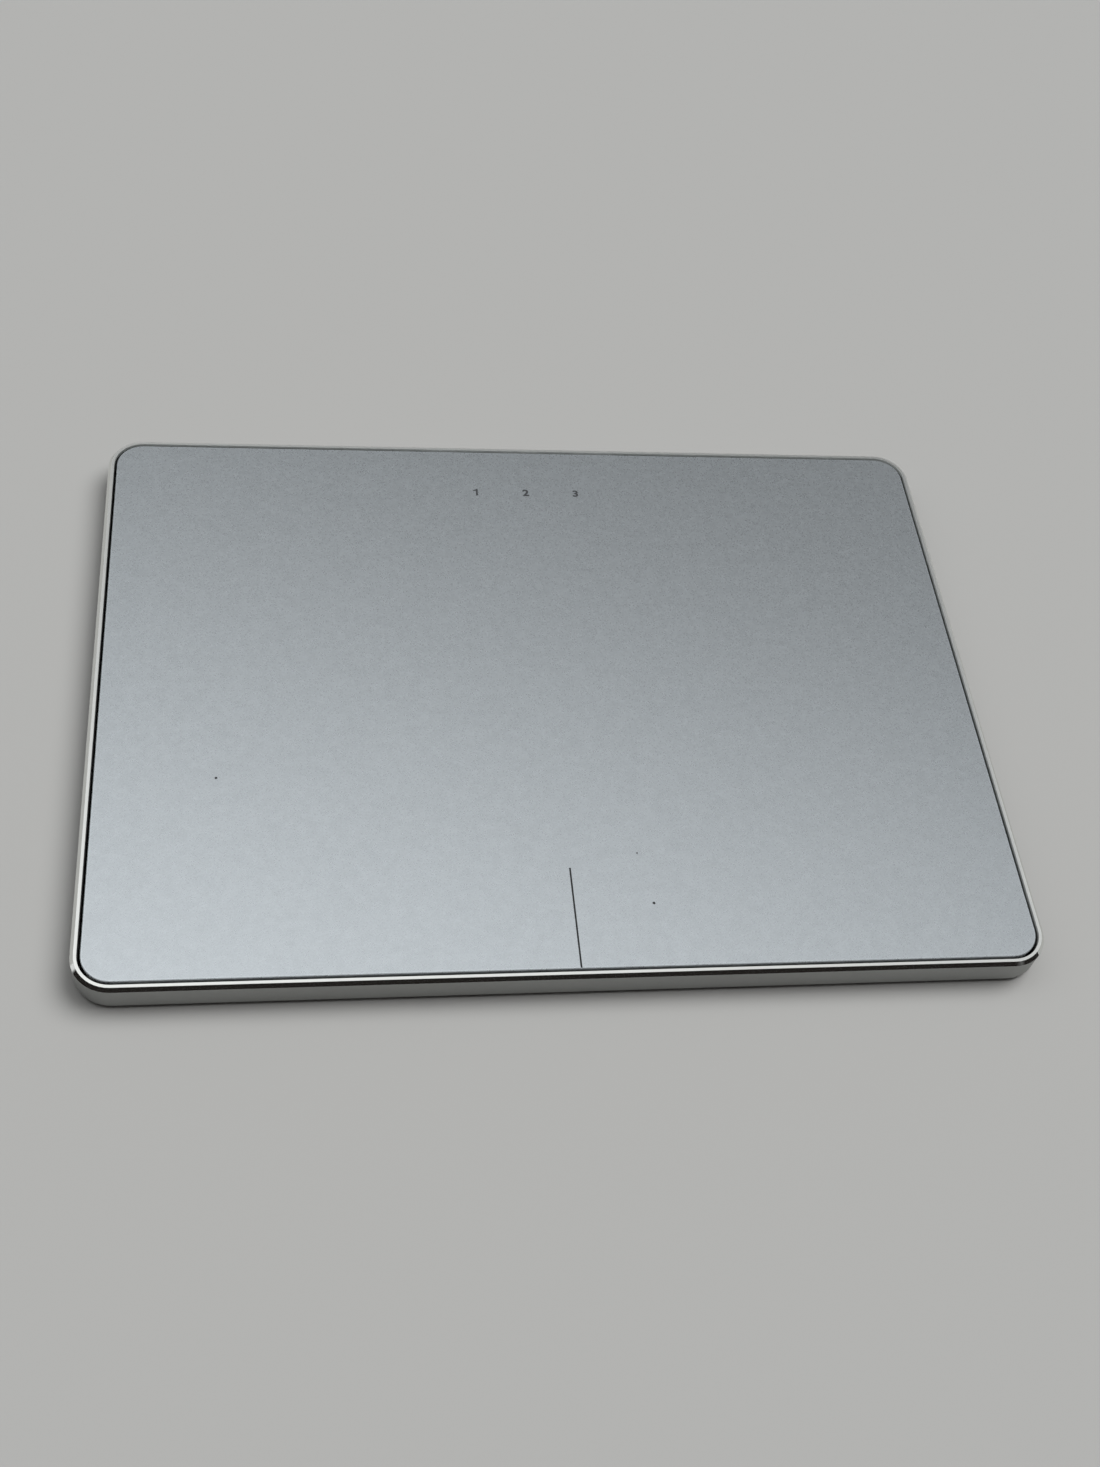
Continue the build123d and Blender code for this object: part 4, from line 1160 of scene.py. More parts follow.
def lathe(profile: list[Pair], segments: int) -> Shape:
    """Turn a profile round the Z axis into a closed shape.

    Args:
        profile: Radius and level of each point, from one end on the axis to the other.
        segments: How many faces go round.

    Returns:
        The shape.
    """
    shape = bmesh.new()
    verts = [shape.verts.new((radius, 0.0, level)) for radius, level in profile]
    edges = [shape.edges.new(pair) for pair in zip(verts, verts[1:])]
    bmesh.ops.spin(shape, geom=verts + edges, cent=(0, 0, 0), axis=(0, 0, 1), angle=math.tau,
                   steps=segments, use_duplicate=False)
    bmesh.ops.remove_doubles(shape, verts=shape.verts, dist=MERGE_DISTANCE)
    return shape


def box_shape(low: Iterable[float], high: Iterable[float]) -> Shape:
    """Make a rectangular block.

    Args:
        low: Its lowest corner.
        high: Its highest corner.

    Returns:
        The shape.
    """
    near, far = Vector(low), Vector(high)
    shape = bmesh.new()
    place = Matrix.Translation((near + far) / 2) @ Matrix.Diagonal((*(far - near), 1.0))
    bmesh.ops.create_cube(shape, size=1.0, matrix=place)
    return shape


def corners(node: str, half_length: float, half_width: float, level: float) -> list[Vector]:
    """Find the centres of four like pieces that stand at the corners of a node's box.

    Args:
        node: The CAD node.
        half_length: Half of one piece's size along X.
        half_width: Half of its size along Y.
        level: The height of the centres.

    Returns:
        The four centres.
    """
    low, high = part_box(node)
    return [Vector((x, y, level)) for x in (low.x + half_length, high.x - half_length)
            for y in (low.y + half_width, high.y - half_width)]


@dataclass
class TouchPlate:
    """The clicking plate: its printed numbers and the line between its two click zones."""

    wardrobe: Wardrobe
    digit_height: float = 1.75 * MM
    digit_weight: float = 0.034
    digit_stretch: float = 1.12
    digit_smoothness: int = 6
    one_shares: tuple[Pair, ...] = (
        (0.30, 0.0), (0.50, 0.0), (0.50, 1.0), (0.36, 1.0), (0.28, 0.90), (0.06, 0.80),
        (0.06, 0.66), (0.30, 0.72))
    digit_pitch: float = 10.0 * MM
    digit_setback: float = 11.0 * MM
    print_proud: float = 0.006 * MM
    print_sunk: float = 0.006 * MM
    divider_width: float = 0.3 * MM
    divider_setback: float = 0.13 * MM
    divider_length: float = 19.0 * MM
    divider_depth: float = 0.06 * MM
    divider_side_gap: float = 0.004 * MM
    divider_fill: float = 0.02 * MM
    ink: Moulded = Moulded(tone(56, 58, 61), 0.6, grain_scale=9000.0, grain_depth=0.0)
    line_ink: Moulded = Moulded(tone(20, 21, 23), 0.6, grain_scale=9000.0, grain_depth=0.0)

    def build(self) -> None:
        """Make and dress every piece."""
        self.digits()
        self.divider()

    def digits(self) -> None:
        """Print the numbers 1 to 3 near the rear edge."""
        _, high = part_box("touch_glass")
        shape = bmesh.new()
        for step, text in enumerate("123"):
            mesh = self.inked(self.figure_one() if text == "1" else self.typed(text))
            across = (step - 1) * self.digit_pitch
            mesh.transform(Matrix.Translation((across, high.y - self.digit_setback, high.z)))
            absorb(shape, mesh)
        made = piece_from("channel_numbers", shape)
        wear(made, self.wardrobe.special("number_ink", self.ink))
        settle(made, Rider.PLATE)

    def typed(self, text: str) -> Mesh:
        """Make a digit of the plain typeface.

        Args:
            text: The digit.

        Returns:
            Its mesh, one unit thick.
        """
        curve = bpy.data.curves.new("digit", "FONT")
        curve.body = text
        curve.size = 1.0
        curve.offset = self.digit_weight
        curve.resolution_u = self.digit_smoothness
        curve.extrude = 0.5
        mesh = shown_mesh(linked("digit", curve))
        bpy.data.curves.remove(curve)
        return mesh

    def figure_one(self) -> Mesh:
        """Make the figure 1 as a stem with a flag, from shares of its height.

        Returns:
            Its mesh, one unit thick.
        """
        shape = bmesh.new()
        foot = [shape.verts.new((x, y, -0.5)) for x, y in self.one_shares]
        raised = bmesh.ops.extrude_face_region(shape, geom=[shape.faces.new(foot)])["geom"]
        bmesh.ops.translate(shape, verts=[item for item in raised if isinstance(item, Vert)],
                            vec=(0, 0, 1))
        return mesh_from("digit", shape)

    def inked(self, mesh: Mesh) -> Mesh:
        """Bring a digit to its printed size and thickness.

        Args:
            mesh: The digit, which is changed.

        Returns:
            The same mesh, centred on the origin.
        """
        low, high = (Vector(pick(v.co[axis] for v in mesh.vertices) for axis in range(3))
                     for pick in (min, max))
        scale = self.digit_height / (high.y - low.y)
        thickness = self.print_proud + self.print_sunk
        middle = (self.print_proud - self.print_sunk) / 2
        sized = Matrix.Diagonal((scale * self.digit_stretch, scale,
                                 thickness / (high.z - low.z), 1.0))
        centre = Matrix.Translation(-(low + high) / 2)
        mesh.transform(Matrix.Translation((0, 0, middle)) @ sized @ centre)
        return mesh

    def divider(self) -> None:
        """Fill the foot of the groove between the click zones with dark ink."""
        low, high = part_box("touch_glass")
        half = self.divider_width / 2 - self.divider_side_gap
        floor = high.z - self.divider_depth
        far = low.y + self.divider_length - self.divider_side_gap
        made = piece_from("divider_line", box_shape(
            (-half, low.y + self.divider_setback, floor - self.print_sunk),
            (half, far, floor + self.divider_fill)))
        wear(made, self.wardrobe.special("line_ink", self.line_ink))
        settle(made, Rider.PLATE)


@dataclass
class Underside:
    """Rubber feet with soft edges."""

    wardrobe: Wardrobe
    copier: Copier
    foot_length: float = 22.0 * MM
    foot_width: float = 6.0 * MM
    foot_edge: float = 0.35 * MM
    foot_steps: int = 20
    edge_steps: int = 5
    flat_normal: float = 0.99

    def build(self) -> None:
        """Set the four feet out in place of the plain ones."""
        places = corners("rubber_feet", self.foot_length / 2, self.foot_width / 2, 0.0)
        made = self.copier.copies("soft_feet", self.foot(), places,
                                  self.wardrobe.slot(Slot.RUBBER))
        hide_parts("rubber_feet")
        settle(made, Rider.ROOT)

    def foot(self) -> Piece:
        """Make one foot.

        Returns:
            The foot, standing on the table round the origin.
        """
        _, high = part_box("rubber_feet")
        shape = bmesh.new()
        half = (self.foot_length - self.foot_width) / 2
        radius = self.foot_width / 2
        rings = []
        for turn in range(self.edge_steps + 1):
            angle = math.pi / 2 * turn / self.edge_steps
            inset = self.foot_edge * (1 - math.sin(angle))
            level = self.foot_edge * (1 - math.cos(angle))
            rings.append(self.stadium(shape, half, radius - inset, level))
        rings.append(self.stadium(shape, half, radius, high.z))
        for lower, upper in zip(rings, rings[1:]):
            bmesh.ops.bridge_loops(shape, edges=self.loop(shape, lower) + self.loop(shape, upper))
        shape.faces.new(rings[0])
        shape.faces.new(rings[-1])
        made = piece_from("foot", shape)
        for face in made.data.polygons:
            face.use_smooth = abs(face.normal.z) < self.flat_normal
        return made

    def stadium(self, shape: Shape, half: float, radius: float, level: float) -> list[Vert]:
        """Add a round-ended loop of points at one level.

        Args:
            shape: The shape that gets them.
            half: Half of the straight length.
            radius: The ends' radius.
            level: The height.

        Returns:
            The points in order.
        """
        verts = []
        for end, start in ((1, -math.pi / 2), (-1, math.pi / 2)):
            for step in range(self.foot_steps + 1):
                angle = start + math.pi * step / self.foot_steps
                place = (end * half + radius * math.cos(angle), radius * math.sin(angle), level)
                verts.append(shape.verts.new(place))
        return verts

    @staticmethod
    def loop(shape: Shape, verts: list[Vert]) -> list[Edge]:
        """Join points into a closed loop of edges."""
        return [shape.edges.get(pair) or shape.edges.new(pair)
                for pair in zip(verts, verts[1:] + verts[:1])]


@dataclass(frozen=True)
class ScrewKind:
    """Sizes of one kind of screw, driven from below."""

    node: str
    name: str
    head_radius: float
    head_height: float
    coned: bool
    recess_span: float
    recess_depth: float


@dataclass
class Fastenings:
    """Threaded screws with cross recesses, in place of the plain ones."""

    wardrobe: Wardrobe
    copier: Copier
    kinds: tuple[ScrewKind, ...] = (
        ScrewKind("cover_screws", "cover_cross_screws", 1.25 * MM, 0.55 * MM, True,
                  1.25 * MM, 0.35 * MM),
        ScrewKind("board_screws", "board_cross_screws", 1.1 * MM, 0.35 * MM, False,
                  1.1 * MM, 0.22 * MM),
        ScrewKind("hinge_screws", "hinge_cross_screws", 1.1 * MM, 0.35 * MM, False,
                  1.1 * MM, 0.22 * MM))
    shank_radius: float = 0.6 * MM
    thread_pitch: float = 0.35 * MM
    thread_depth: float = 0.08 * MM
    recess_width: float = 0.3 * MM
    recess_taper: float = 0.6
    segments: int = 32
    one_row: float = 3.0

    def build(self) -> None:
        """Make every kind and set it out."""
        for kind in self.kinds:
            self.screws(kind)

    def screw(self, kind: ScrewKind) -> Piece:
        """Make one screw, its head down, with a cross recess.

        Args:
            kind: Its sizes.

        Returns:
            The screw, round the origin.
        """
        low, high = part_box(kind.node)
        length = high.z - low.z
        root = self.shank_radius - self.thread_depth
        profile = [(0.0, 0.0), (kind.head_radius, 0.0)]
        if not kind.coned:
            profile.append((kind.head_radius, kind.head_height))
        profile.append((self.shank_radius, kind.head_height))
        level = kind.head_height + self.thread_pitch / 2
        while level + self.thread_pitch < length:
            profile += [(root, level), (self.shank_radius, level + self.thread_pitch / 2)]
            level += self.thread_pitch
        profile += [(root, length), (0.0, length)]
        made = piece_from("screw", lathe(profile, self.segments))
        cutter = self.cross(kind)
        cut = made.modifiers.new("recess", "BOOLEAN")
        cut.object = cutter
        cut.operation = "DIFFERENCE"
        cut.use_self = True
        made = flattened(made, "screw")
        bpy.data.objects.remove(cutter)
        return made

    def cross(self, kind: ScrewKind) -> Piece:
        """Make the cutter for the cross recess, tapering upwards.

        Args:
            kind: The screw's sizes.

        Returns:
            The cutter, round the origin.
        """
        shape = bmesh.new()
        span, width, depth = kind.recess_span, self.recess_width, kind.recess_depth
        for length, breadth in ((span, width), (width, span)):
            blade = box_shape((-length / 2, -breadth / 2, -depth), (length / 2, breadth / 2, depth))
            for vert in blade.verts:
                if vert.co.z > 0:
                    vert.co.x *= self.recess_taper
                    vert.co.y *= self.recess_taper
            absorb(shape, mesh_from("blade", blade))
        return piece_from("cross", shape)

    def screws(self, kind: ScrewKind) -> None:
        """Set the screws of one kind out in place of the plain ones.

        Args:
            kind: Their sizes. A node that is few head radii deep has one row of two.
        """
        low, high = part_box(kind.node)
        if high.y - low.y > self.one_row * kind.head_radius:
            places = corners(kind.node, kind.head_radius, kind.head_radius, low.z)
        else:
            places = [Vector((x, (low.y + high.y) / 2, low.z))
                      for x in (low.x + kind.head_radius, high.x - kind.head_radius)]
        made = self.copier.copies(kind.name, self.screw(kind), places,
                                  self.wardrobe.slot(Slot.SCREW))
        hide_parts(kind.node)
        settle(made, Rider.ROOT)


@dataclass
class SnapDome:
    """The click switch's spring disc, between plunger and switch roof."""

    wardrobe: Wardrobe
    flat_radius: float = 0.5 * MM
    thickness: float = 0.06 * MM
    steps: int = 10
    segments: int = 48

    def build(self) -> None:
        """Make the disc in place of the plain one."""
        low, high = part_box("switch_dome")
        radius = (high.x - low.x) / 2
        rise = high.z - low.z - self.thickness
        curve = []
        for step in range(self.steps + 1):
            share = step / self.steps
            eased = share * share * (3 - 2 * share)
            curve.append((self.flat_radius + (radius - self.flat_radius) * share, rise * eased))
        upper = [(out, up + self.thickness) for out, up in reversed(curve)]
        shape = lathe([(0.0, 0.0), *curve, *upper, (0.0, self.thickness)], self.segments)
        bmesh.ops.translate(shape, verts=shape.verts,
                            vec=((low.x + high.x) / 2, (low.y + high.y) / 2, low.z))
        made = piece_from("snap_disc", shape)
        for face in made.data.polygons:
            face.use_smooth = True
        wear(made, self.wardrobe.slot(Slot.SPRING))
        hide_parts("switch_dome")
        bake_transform(made)
        LOG.info("%s bends between the plunger and the plate with %d faces", made.name,
                 len(made.data.polygons))


@dataclass
class Cell:
    """Amber tape and a blank label on the battery."""

    wardrobe: Wardrobe
    tape_length: float = 64.0 * MM
    tape_width: float = 5.0 * MM
    tape_setback: float = 4.2 * MM
    label_length: float = 52.0 * MM
    label_width: float = 24.0 * MM
    thickness: float = 0.03 * MM
    sunk: float = 0.01 * MM
    amber: Moulded = Moulded(tone(196, 132, 38), 0.22, grain_scale=700.0, grain_depth=0.0)
    paper: Moulded = Moulded(tone(216, 217, 214), 0.6, grain_scale=3000.0)

    def build(self) -> None:
        """Make both and dress them."""
        low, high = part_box("battery")
        tape_front = high.y - self.tape_setback - self.tape_width
        self.patch("battery_amber_tape", tape_front, self.tape_length, self.tape_width, self.amber)
        label_front = (low.y + high.y) / 2 - self.label_width / 2
        self.patch("battery_label", label_front, self.label_length, self.label_width, self.paper)

    def patch(self, name: str, front: float, length: float, width: float, finish: Finish) -> None:
        """Stick a thin rectangle on the top of the cell, in the middle across.

        Args:
            name: The piece's name.
            front: Its front edge.
            length: Its size along X.
            width: Its size along Y.
            finish: What it is made of.
        """
        low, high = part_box("battery")
        middle = (low.x + high.x) / 2
        made = piece_from(name, box_shape(
            (middle - length / 2, front, high.z - self.sunk),
            (middle + length / 2, front + width, high.z + self.thickness)))
        wear(made, self.wardrobe.special(name, finish))
        settle(made, Rider.ROOT)


@dataclass
class ChargingSocket:
    """Gold contacts on the tongue of the charging socket."""

    wardrobe: Wardrobe
    copier: Copier
    contacts: int = 12
    pitch: float = 0.5 * MM
    width: float = 0.25 * MM
    length: float = 3.6 * MM
    tip_gap: float = 0.35 * MM
    thickness: float = 0.02 * MM
    tongue_half: float = 0.35 * MM
    gold: BrushedMetal = BrushedMetal(tone(228, 190, 110), 0.22, run=Run.Y)

    def build(self) -> None:
        """Make both rows of contacts."""
        low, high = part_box("usb_tongue")
        finish = self.wardrobe.special("contact_gold", self.gold)
        for name, side in (("upper_contacts", 1), ("lower_contacts", -1)):
            start = (-self.pitch * (self.contacts - 1) / 2, high.y - self.tip_gap - self.length / 2,
                     (low.z + high.z) / 2 + side * self.tongue_half)
            Row(name, Rider.ROOT, self.contacts, start, (self.pitch, 0.0, 0.0),
                (self.width, self.length, self.thickness)).make(self.copier, finish)


@dataclass(frozen=True)
class Pins:
    """Pins or legs of a part: their level over or under a node's top, how many and how apart."""

    node: str
    rider: Rider
    level_node: str
    lift: float
    count: int
    pitch: float

    @property
    def level(self) -> float:
        """Give the height of their middle."""
        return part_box(self.level_node)[1].z + self.lift


@dataclass
class Electronics:
    """Small parts, contacts and pads on the two circuit boards."""

    wardrobe: Wardrobe
    copier: Copier
    part_length: float = 0.9 * MM
    part_width: float = 0.5 * MM
    part_height: float = 0.35 * MM
    part_step: float = 1.9 * MM
    part_first_seed: int = 5
    part_zones: tuple[tuple[Pair, Pair, float], ...] = (
        ((9.5, 37.5), (17.5, 45.5), 0.55), ((26.0, 40.0), (32.0, 52.0), 0.5),
        ((-16.0, 37.5), (-8.0, 45.5), 0.55), ((8.5, 49.5), (24.0, 53.0), 0.5),
        ((-25.0, 49.5), (-9.0, 53.0), 0.5), ((-4.0, 38.5), (4.0, 42.0), 0.35))
    part_share_turned: float = 0.5
    cap_length: float = 0.2 * MM
    cap_proud: float = 0.01 * MM
    pad_radius: float = 0.32 * MM
    pad_height: float = 0.02 * MM
    pad_segments: int = 20
    pad_zones: tuple[tuple[Pair, Pair, float], ...] = (
        ((6.5, 46.2), (6.5, 53.6), 1.85), ((-6.8, 49.0), (-6.8, 53.6), 1.5))
    vent_radius: float = 0.3 * MM
    vent_segments: int = 16
    vent_inset: float = 2.0 * MM
    vent_step: float = 1.5 * MM
    vent_proud: float = 0.002 * MM
    vent_seed: int = 3
    sunk: float = 0.01 * MM
    chips: tuple[tuple[Pins, float], ...] = (
        (Pins("power_chip", Rider.ROOT, "main_board", 0.04 * MM, 7, 0.5 * MM), 0.12 * MM),
        (Pins("touch_controller", Rider.PLATE, "touch_controller", -0.06 * MM, 15, 0.5 * MM),
         0.3 * MM))
    leg_hidden: float = 0.1 * MM
    leg_width: float = 0.25 * MM
    leg_height: float = 0.1 * MM
    plugs: tuple[tuple[Pins, int], ...] = (
        (Pins("board_connector", Rider.ROOT, "main_board", 0.05 * MM, 17, 0.5 * MM), 1),
        (Pins("sensor_connector", Rider.PLATE, "sensor_connector", -0.05 * MM, 17, 0.5 * MM), -1),
        (Pins("battery_connector", Rider.ROOT, "main_board", 0.05 * MM, 3, 1.2 * MM), 1))
    pin_share: float = 0.4
    pin_length: float = 0.5 * MM
    pin_height: float = 0.12 * MM
    pin_reach: float = 0.15 * MM
    solder: BrushedMetal = BrushedMetal(tone(205, 206, 208), 0.3, run=Run.Y)
    ceramic: Moulded = Moulded(tone(150, 122, 92), 0.45, grain_scale=9000.0, grain_depth=0.0)
    gold: BrushedMetal = BrushedMetal(tone(226, 188, 108), 0.28, run=Run.X)
    # Near-black paint for the discs that stand in for the shade inside vent holes.
    vent_shade: Moulded = Moulded(tone(18, 18, 19), 0.7, grain_depth=0.0)

    def build(self) -> None:
        """Make and dress every piece."""
        self.small_parts()
        self.pads()
        self.vent_shade_discs()
        finish = self.wardrobe.special("solder_tin", self.solder)
        for row in self.legs() + self.pins():
            row.make(self.copier, finish)

    def zone(self, low: Pair, high: Pair, step: float, share: float, seed: int) -> Zone:
        """Mark a patch of the main board.

        Args:
            low: Its lowest corner, in mm.
            high: Its highest corner, in mm.
            step: From one part to the next.
            share: Share of the places that hold a part.
            seed: Seed of the places left out.

        Returns:
            The zone, a little below the board's face.
        """
        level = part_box("main_board")[1].z - self.sunk
        near, far = ((x * MM, y * MM) for x, y in (low, high))
        return Zone(near, far, level, step, share, seed)

    def small_parts(self) -> None:
        """Set small two-ended parts out over the main board: bodies, then metal ends."""
        half_length, half_width, proud = self.part_length / 2, self.part_width / 2, self.cap_proud
        body = box_shape((-half_length, -half_width, 0),
                         (half_length, half_width, self.part_height))
        ends = bmesh.new()
        for side in (-1, 1):
            near, far = side * (half_length - self.cap_length), side * (half_length + proud)
            end = box_shape((min(near, far), -half_width - proud, 0),
                            (max(near, far), half_width + proud, self.part_height + proud))
            absorb(ends, mesh_from("end", end))
        zones = [self.zone(low, high, self.part_step, share, self.part_first_seed + number)
                 for number, (low, high, share) in enumerate(self.part_zones)]
        for name, shape, finish in (
                ("small_part", body, self.wardrobe.special("part_ceramic", self.ceramic)),
                ("part_ends", ends, self.wardrobe.special("solder_tin", self.solder))):
            self.set_out(name, shape, zones, finish, self.part_share_turned)

    def set_out(self, name: str, shape: Shape, zones: list[Zone], finish: Material, turned: float
                ) -> None:
        """Fill every zone with a part.

        Args:
            name: The name that each zone's piece starts with.
            shape: The part, made round the origin.
            zones: Where the parts go.
            finish: Their material.
            turned: Share of the parts turned by a right angle.
        """
        part = piece_from(name, shape)
        for number, zone in enumerate(zones, 1):
            made = zone.fill(f"{name}_{number}", part, self.copier, finish, turned)
            settle(made, Rider.ROOT)
        bpy.data.objects.remove(part)

    def disc(self, radius: float, segments: int) -> Shape:
        """Make a flat disc as thick as a pad, standing on the origin."""
        profile = [(0, 0), (radius, 0), (radius, self.pad_height), (0, self.pad_height)]
        return lathe(profile, segments)

    def pads(self) -> None:
        """Set gold test pads out on the main board."""
        zones = [self.zone(low, high, step * MM, 1.0, seed)
                 for seed, (low, high, step) in enumerate(self.pad_zones, 1)]
        finish = self.wardrobe.special("contact_gold_plate", self.gold)
        self.set_out("test_pads", self.disc(self.pad_radius, self.pad_segments), zones, finish, 0.0)

    def vent_shade_discs(self) -> None:
        """Set dark discs out on the radio shield: painted shade that stands in for vent holes."""
        low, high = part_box("wireless_shield")
        inset = self.vent_inset
        zone = Zone((low.x + inset, low.y + inset), (high.x - inset, high.y - inset),
                    high.z - self.pad_height + self.vent_proud, self.vent_step, 1.0, self.vent_seed)
        finish = self.wardrobe.special("vent_painted_shade", self.vent_shade)
        self.set_out("shield_vents", self.disc(self.vent_radius, self.vent_segments), [zone],
                     finish, 0.0)

    def legs(self) -> list[Row]:
        """Give the rows of legs on the four sides of the chips.

        Returns:
            The rows.
        """
        rows = []
        for chip, reach in self.chips:
            low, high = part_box(chip.node)
            middle = (low + high) / 2
            first = -chip.pitch * (chip.count - 1) / 2
            size = (reach + self.leg_hidden, self.leg_width)
            for way, end, edge, side in (("x", "low", low, -1), ("x", "high", high, 1),
                                         ("y", "low", low, -1), ("y", "high", high, 1)):
                if way == "x":
                    start = (edge.x + side * reach / 2, middle.y + first, chip.level)
                    step, block = (0.0, chip.pitch, 0.0), (*size, self.leg_height)
                else:
                    start = (middle.x + first, edge.y + side * reach / 2, chip.level)
                    step, block = (chip.pitch, 0.0, 0.0), (*size[::-1], self.leg_height)
                rows.append(Row(f"{chip.node}_legs_{way}_{end}", chip.rider, chip.count, start,
                                step, block))
        return rows

    def pins(self) -> list[Row]:
        """Give the rows of pins behind the plugs.

        Returns:
            The rows.
        """
        rows = []
        for plug, side in self.plugs:
            low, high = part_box(plug.node)
            first = (low.x + high.x) / 2 - plug.pitch * (plug.count - 1) / 2
            edge = high.y if side > 0 else low.y
            rows.append(Row(f"{plug.node}_pins", plug.rider, plug.count,
                            (first, edge + side * self.pin_reach, plug.level),
                            (plug.pitch, 0.0, 0.0),
                            (self.pin_share * plug.pitch, self.pin_length, self.pin_height)))
        return rows


@dataclass
class Dressing:
    """The CAD pieces that keep their shape and get their finish."""

    wardrobe: Wardrobe
    frame: dict[str, Any]

    def build(self) -> None:
        """Give every CAD node the finish of its slot."""
        for row in self.frame["record"]["subparts"]:
            piece = self.frame["nodes"][row["node"]]
            wear(piece, self.wardrobe.slot(Slot(row["material_slot"])))
            LOG.info("%s wears %s", row["node"], row["material_slot"])


@dataclass
class Studio:
    """Table, room, light and camera. Directions are azimuths from +Y towards +X and elevations."""

    table_colour: Colour = tone(183, 183, 181)
    table_size: float = 6.0
    table_roughness: float = 0.9
    table_gloss: float = 0.2
    backdrop: Colour = tone(181, 181, 180)
    air: Colour = (0.985, 0.995, 1.0)
    walls: Pair = (0.7, 0.75)
    walls_part: Pair = (-0.4, 0.2)
    ceiling_azimuth: float = math.radians(-160)
    ceiling_elevation: float = math.radians(58)
    ceiling_part: Pair = (0.169, 0.84)
    ceiling_light: Pair = (0.077, 1.96)
    ceiling_rear: Pair = (0.1, 0.35)
    ceiling_foot: Pair = (0.42, 0.62)
    strip_path: tuple[Pair, ...] = (
        (-0.99, 0.124), (-0.912, 0.239), (-0.725, 0.336), (-0.445, 0.410), (-0.103, 0.453),
        (0.17, 0.449), (0.41, 0.416), (0.70, 0.294), (0.897, 0.151), (0.989, 0.0))
    strip_half: Pair = (0.05, 0.065)
    strip_front: Pair = (0.0, 0.1)
    strip_dark: Colour = (0.015, 0.013, 0.012)
    strip_gap: Colour = (0.12, 0.12, 0.12)
    strip_gap_across: float = 0.6
    strip_gap_half: float = 0.1
    first_bounce: float = 0.5
    fill_part: Pair = (0.22, 0.62)
    fill_light: Pair = (0.147, 1.2)
    fill_front: Colour = (0.030, 0.024, 0.022)
    fill_front_part: Pair = (-0.1, 0.3)
    fill_front_top: Pair = (0.86, 0.98)
    sun_azimuth: float = math.radians(66)
    sun_elevation: float = math.radians(58)
    sun_spread: float = math.radians(42)
    sun_strength: float = 2.05
    camera_place: Triple = (-46.295, -182.178, 245.021)
    camera_azimuth: float = math.radians(14.944)
    camera_elevation: float = math.radians(53.528)
    camera_roll: float = math.radians(11.740)
    camera_lens: float = 40.868
    camera_reach: Pair = (0.01, 50.0)

    def build(self) -> None:
        """Set everything up."""
        bpy.context.scene.view_settings.view_transform = "Standard"
        self.table()
        self.room()
        self.sun()
        self.camera()

    @staticmethod
    def way(azimuth: float, elevation: float) -> Triple:
        """Give the direction at an azimuth and an elevation."""
        flat = math.cos(elevation)
        return flat * math.sin(azimuth), flat * math.cos(azimuth), math.sin(elevation)

    def table(self) -> None:
        """Lay a plain pale table."""
        shape = bmesh.new()
        bmesh.ops.create_grid(shape, x_segments=1, y_segments=1, size=self.table_size / 2)
        made = piece_from("table", shape)
        material = bpy.data.materials.new("table")
        material.use_nodes = True
        shader = material.node_tree.nodes["Principled BSDF"]
        shader.inputs["Base Color"].default_value = (*self.table_colour, 1.0)
        shader.inputs["Roughness"].default_value = self.table_roughness
        shader.inputs["Specular IOR Level"].default_value = self.table_gloss
        wear(made, material)

    def room(self) -> None:
        """Draw a plain backdrop, a pale room for reflections and a dimmer one for soft light."""
        world = bpy.data.worlds.new("room")
        bpy.context.scene.world = world
        world.use_nodes = True
        world.node_tree.nodes.clear()
        sketch = Sketch(world.node_tree)
        place = sketch.node("ShaderNodeTexCoord").outputs["Generated"]
        parts = sketch.parts(place)
        brightest = self.way(self.ceiling_azimuth, self.ceiling_elevation)
        near = sketch.node("ShaderNodeVectorMath", {0: place, 1: brightest},
                           operation="DOT_PRODUCT").outputs["Value"]
        ray = sketch.node("ShaderNodeLightPath")
        soft = sketch.calc("GREATER_THAN", ray.outputs["Diffuse Depth"], self.first_bounce)
        seen = sketch.mix(soft, self.mirrored(sketch, parts, near), self.fill(sketch, parts, near))
        whole = sketch.mix(ray.outputs["Is Camera Ray"], seen, self.backdrop)
        shade = sketch.node("ShaderNodeBackground", {"Color": whole, "Strength": 1.0})
        sketch.node("ShaderNodeOutputWorld", {"Surface": shade.outputs[0]})

    def mirrored(self, sketch: Sketch, parts: tuple[Socket, ...], near: Socket) -> Socket:
        """Draw the room that is seen in reflections.

        Its walls are pale, its rear ceiling brightens towards the front, and a narrow dark strip
        with one paler gap stands where the rim's cut edge mirrors it to the photograph's camera.

        Args:
            sketch: The world's tree.
            parts: The direction's parts.
            near: How close the direction is to the brightest one.

        Returns:
            The room's colour.
        """
        across, back, up = parts
        walls = sketch.scaled(self.air, sketch.spread(back, *self.walls_part, *self.walls))
        ceiling = sketch.scaled(self.air, sketch.spread(near, *self.ceiling_part,
                                                        *self.ceiling_light))
        share = sketch.times(sketch.spread(back, *self.ceiling_rear, 0.0, 1.0),
                             sketch.spread(up, *self.ceiling_foot, 0.0, 1.0))
        open_room = sketch.mix(share, walls, ceiling)
        middle = sketch.curve(across, self.strip_path)
        off = sketch.calc("ABSOLUTE", sketch.calc("SUBTRACT", up, middle))
        strip = sketch.times(sketch.spread(off, *self.strip_half, 1.0, 0.0),
                             sketch.spread(back, *self.strip_front, 1.0, 0.0))
        aside = sketch.calc("ABSOLUTE", sketch.calc("SUBTRACT", across, self.strip_gap_across))
        gap = sketch.spread(aside, 0.0, self.strip_gap_half, 1.0, 0.0)
        return sketch.mix(strip, open_room, sketch.mix(gap, self.strip_dark, self.strip_gap))

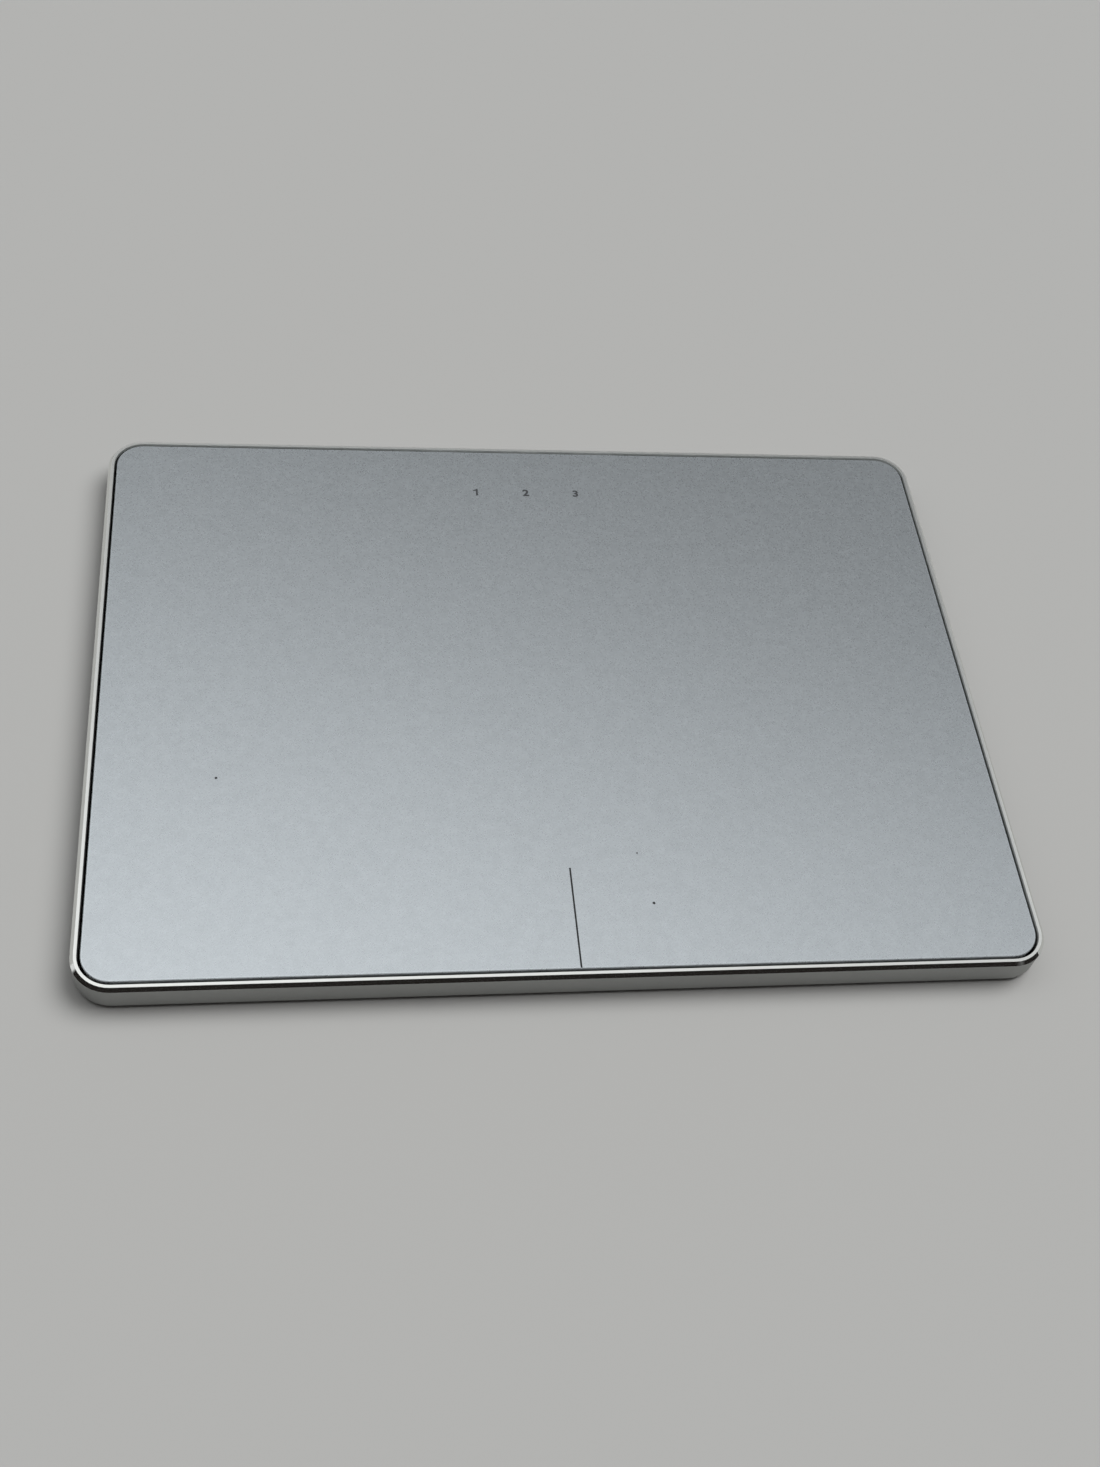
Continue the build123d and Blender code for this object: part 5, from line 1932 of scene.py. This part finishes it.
    def fill(self, sketch: Sketch, parts: tuple[Socket, ...], near: Socket) -> Socket:
        """Draw the room that lights matt surfaces: bright overhead, dim behind, dark in front.

        Args:
            sketch: The world's tree.
            parts: The direction's parts.
            near: How close the direction is to the brightest one.

        Returns:
            The room's colour.
        """
        _, back, up = parts
        open_room = sketch.scaled(self.air, sketch.spread(near, *self.fill_part, *self.fill_light))
        share = sketch.times(sketch.spread(back, *self.fill_front_part, 1.0, 0.0),
                             sketch.spread(up, *self.fill_front_top, 1.0, 0.0))
        return sketch.mix(share, open_room, self.fill_front)

    def sun(self) -> None:
        """Hang a very wide, soft light on the right, which isn't seen in reflections."""
        data = bpy.data.lights.new("soft_light", "SUN")
        data.angle = self.sun_spread
        data.energy = self.sun_strength
        light = linked("soft_light", data)
        towards = Vector(self.way(self.sun_azimuth, self.sun_elevation))
        light.rotation_euler = towards.to_track_quat("Z", "Y").to_euler()
        light.visible_glossy = False

    def camera(self) -> None:
        """Stand the photograph's camera, turned about its own axis by the roll."""
        roll = self.camera_roll
        ahead = Vector(self.way(self.camera_azimuth, -self.camera_elevation))
        level = ahead.cross(Vector((0, 0, 1))).normalized()
        upright = level.cross(ahead)
        right = math.cos(roll) * level + math.sin(roll) * upright
        up = math.cos(roll) * upright - math.sin(roll) * level
        data = bpy.data.cameras.new("camera")
        data.lens = self.camera_lens
        data.clip_start, data.clip_end = self.camera_reach
        camera = linked("camera", data)
        turned = Matrix((right, up, -ahead)).transposed().to_4x4()
        camera.matrix_world = Matrix.Translation(Vector(self.camera_place) * MM) @ turned
        bpy.context.scene.camera = camera


def main() -> None:
    """Load the frame, dress it, add what the CAD leaves plain and set the studio up."""
    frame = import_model()
    wardrobe = Wardrobe()
    copier = Copier()
    Dressing(wardrobe, frame).build()
    TouchPlate(wardrobe).build()
    Underside(wardrobe, copier).build()
    Fastenings(wardrobe, copier).build()
    Electronics(wardrobe, copier).build()
    SnapDome(wardrobe).build()
    Cell(wardrobe).build()
    ChargingSocket(wardrobe, copier).build()
    Studio().build()


if __name__ == "__main__":
    logging.basicConfig(level=logging.INFO, format="%(name)s: %(message)s")
    main()
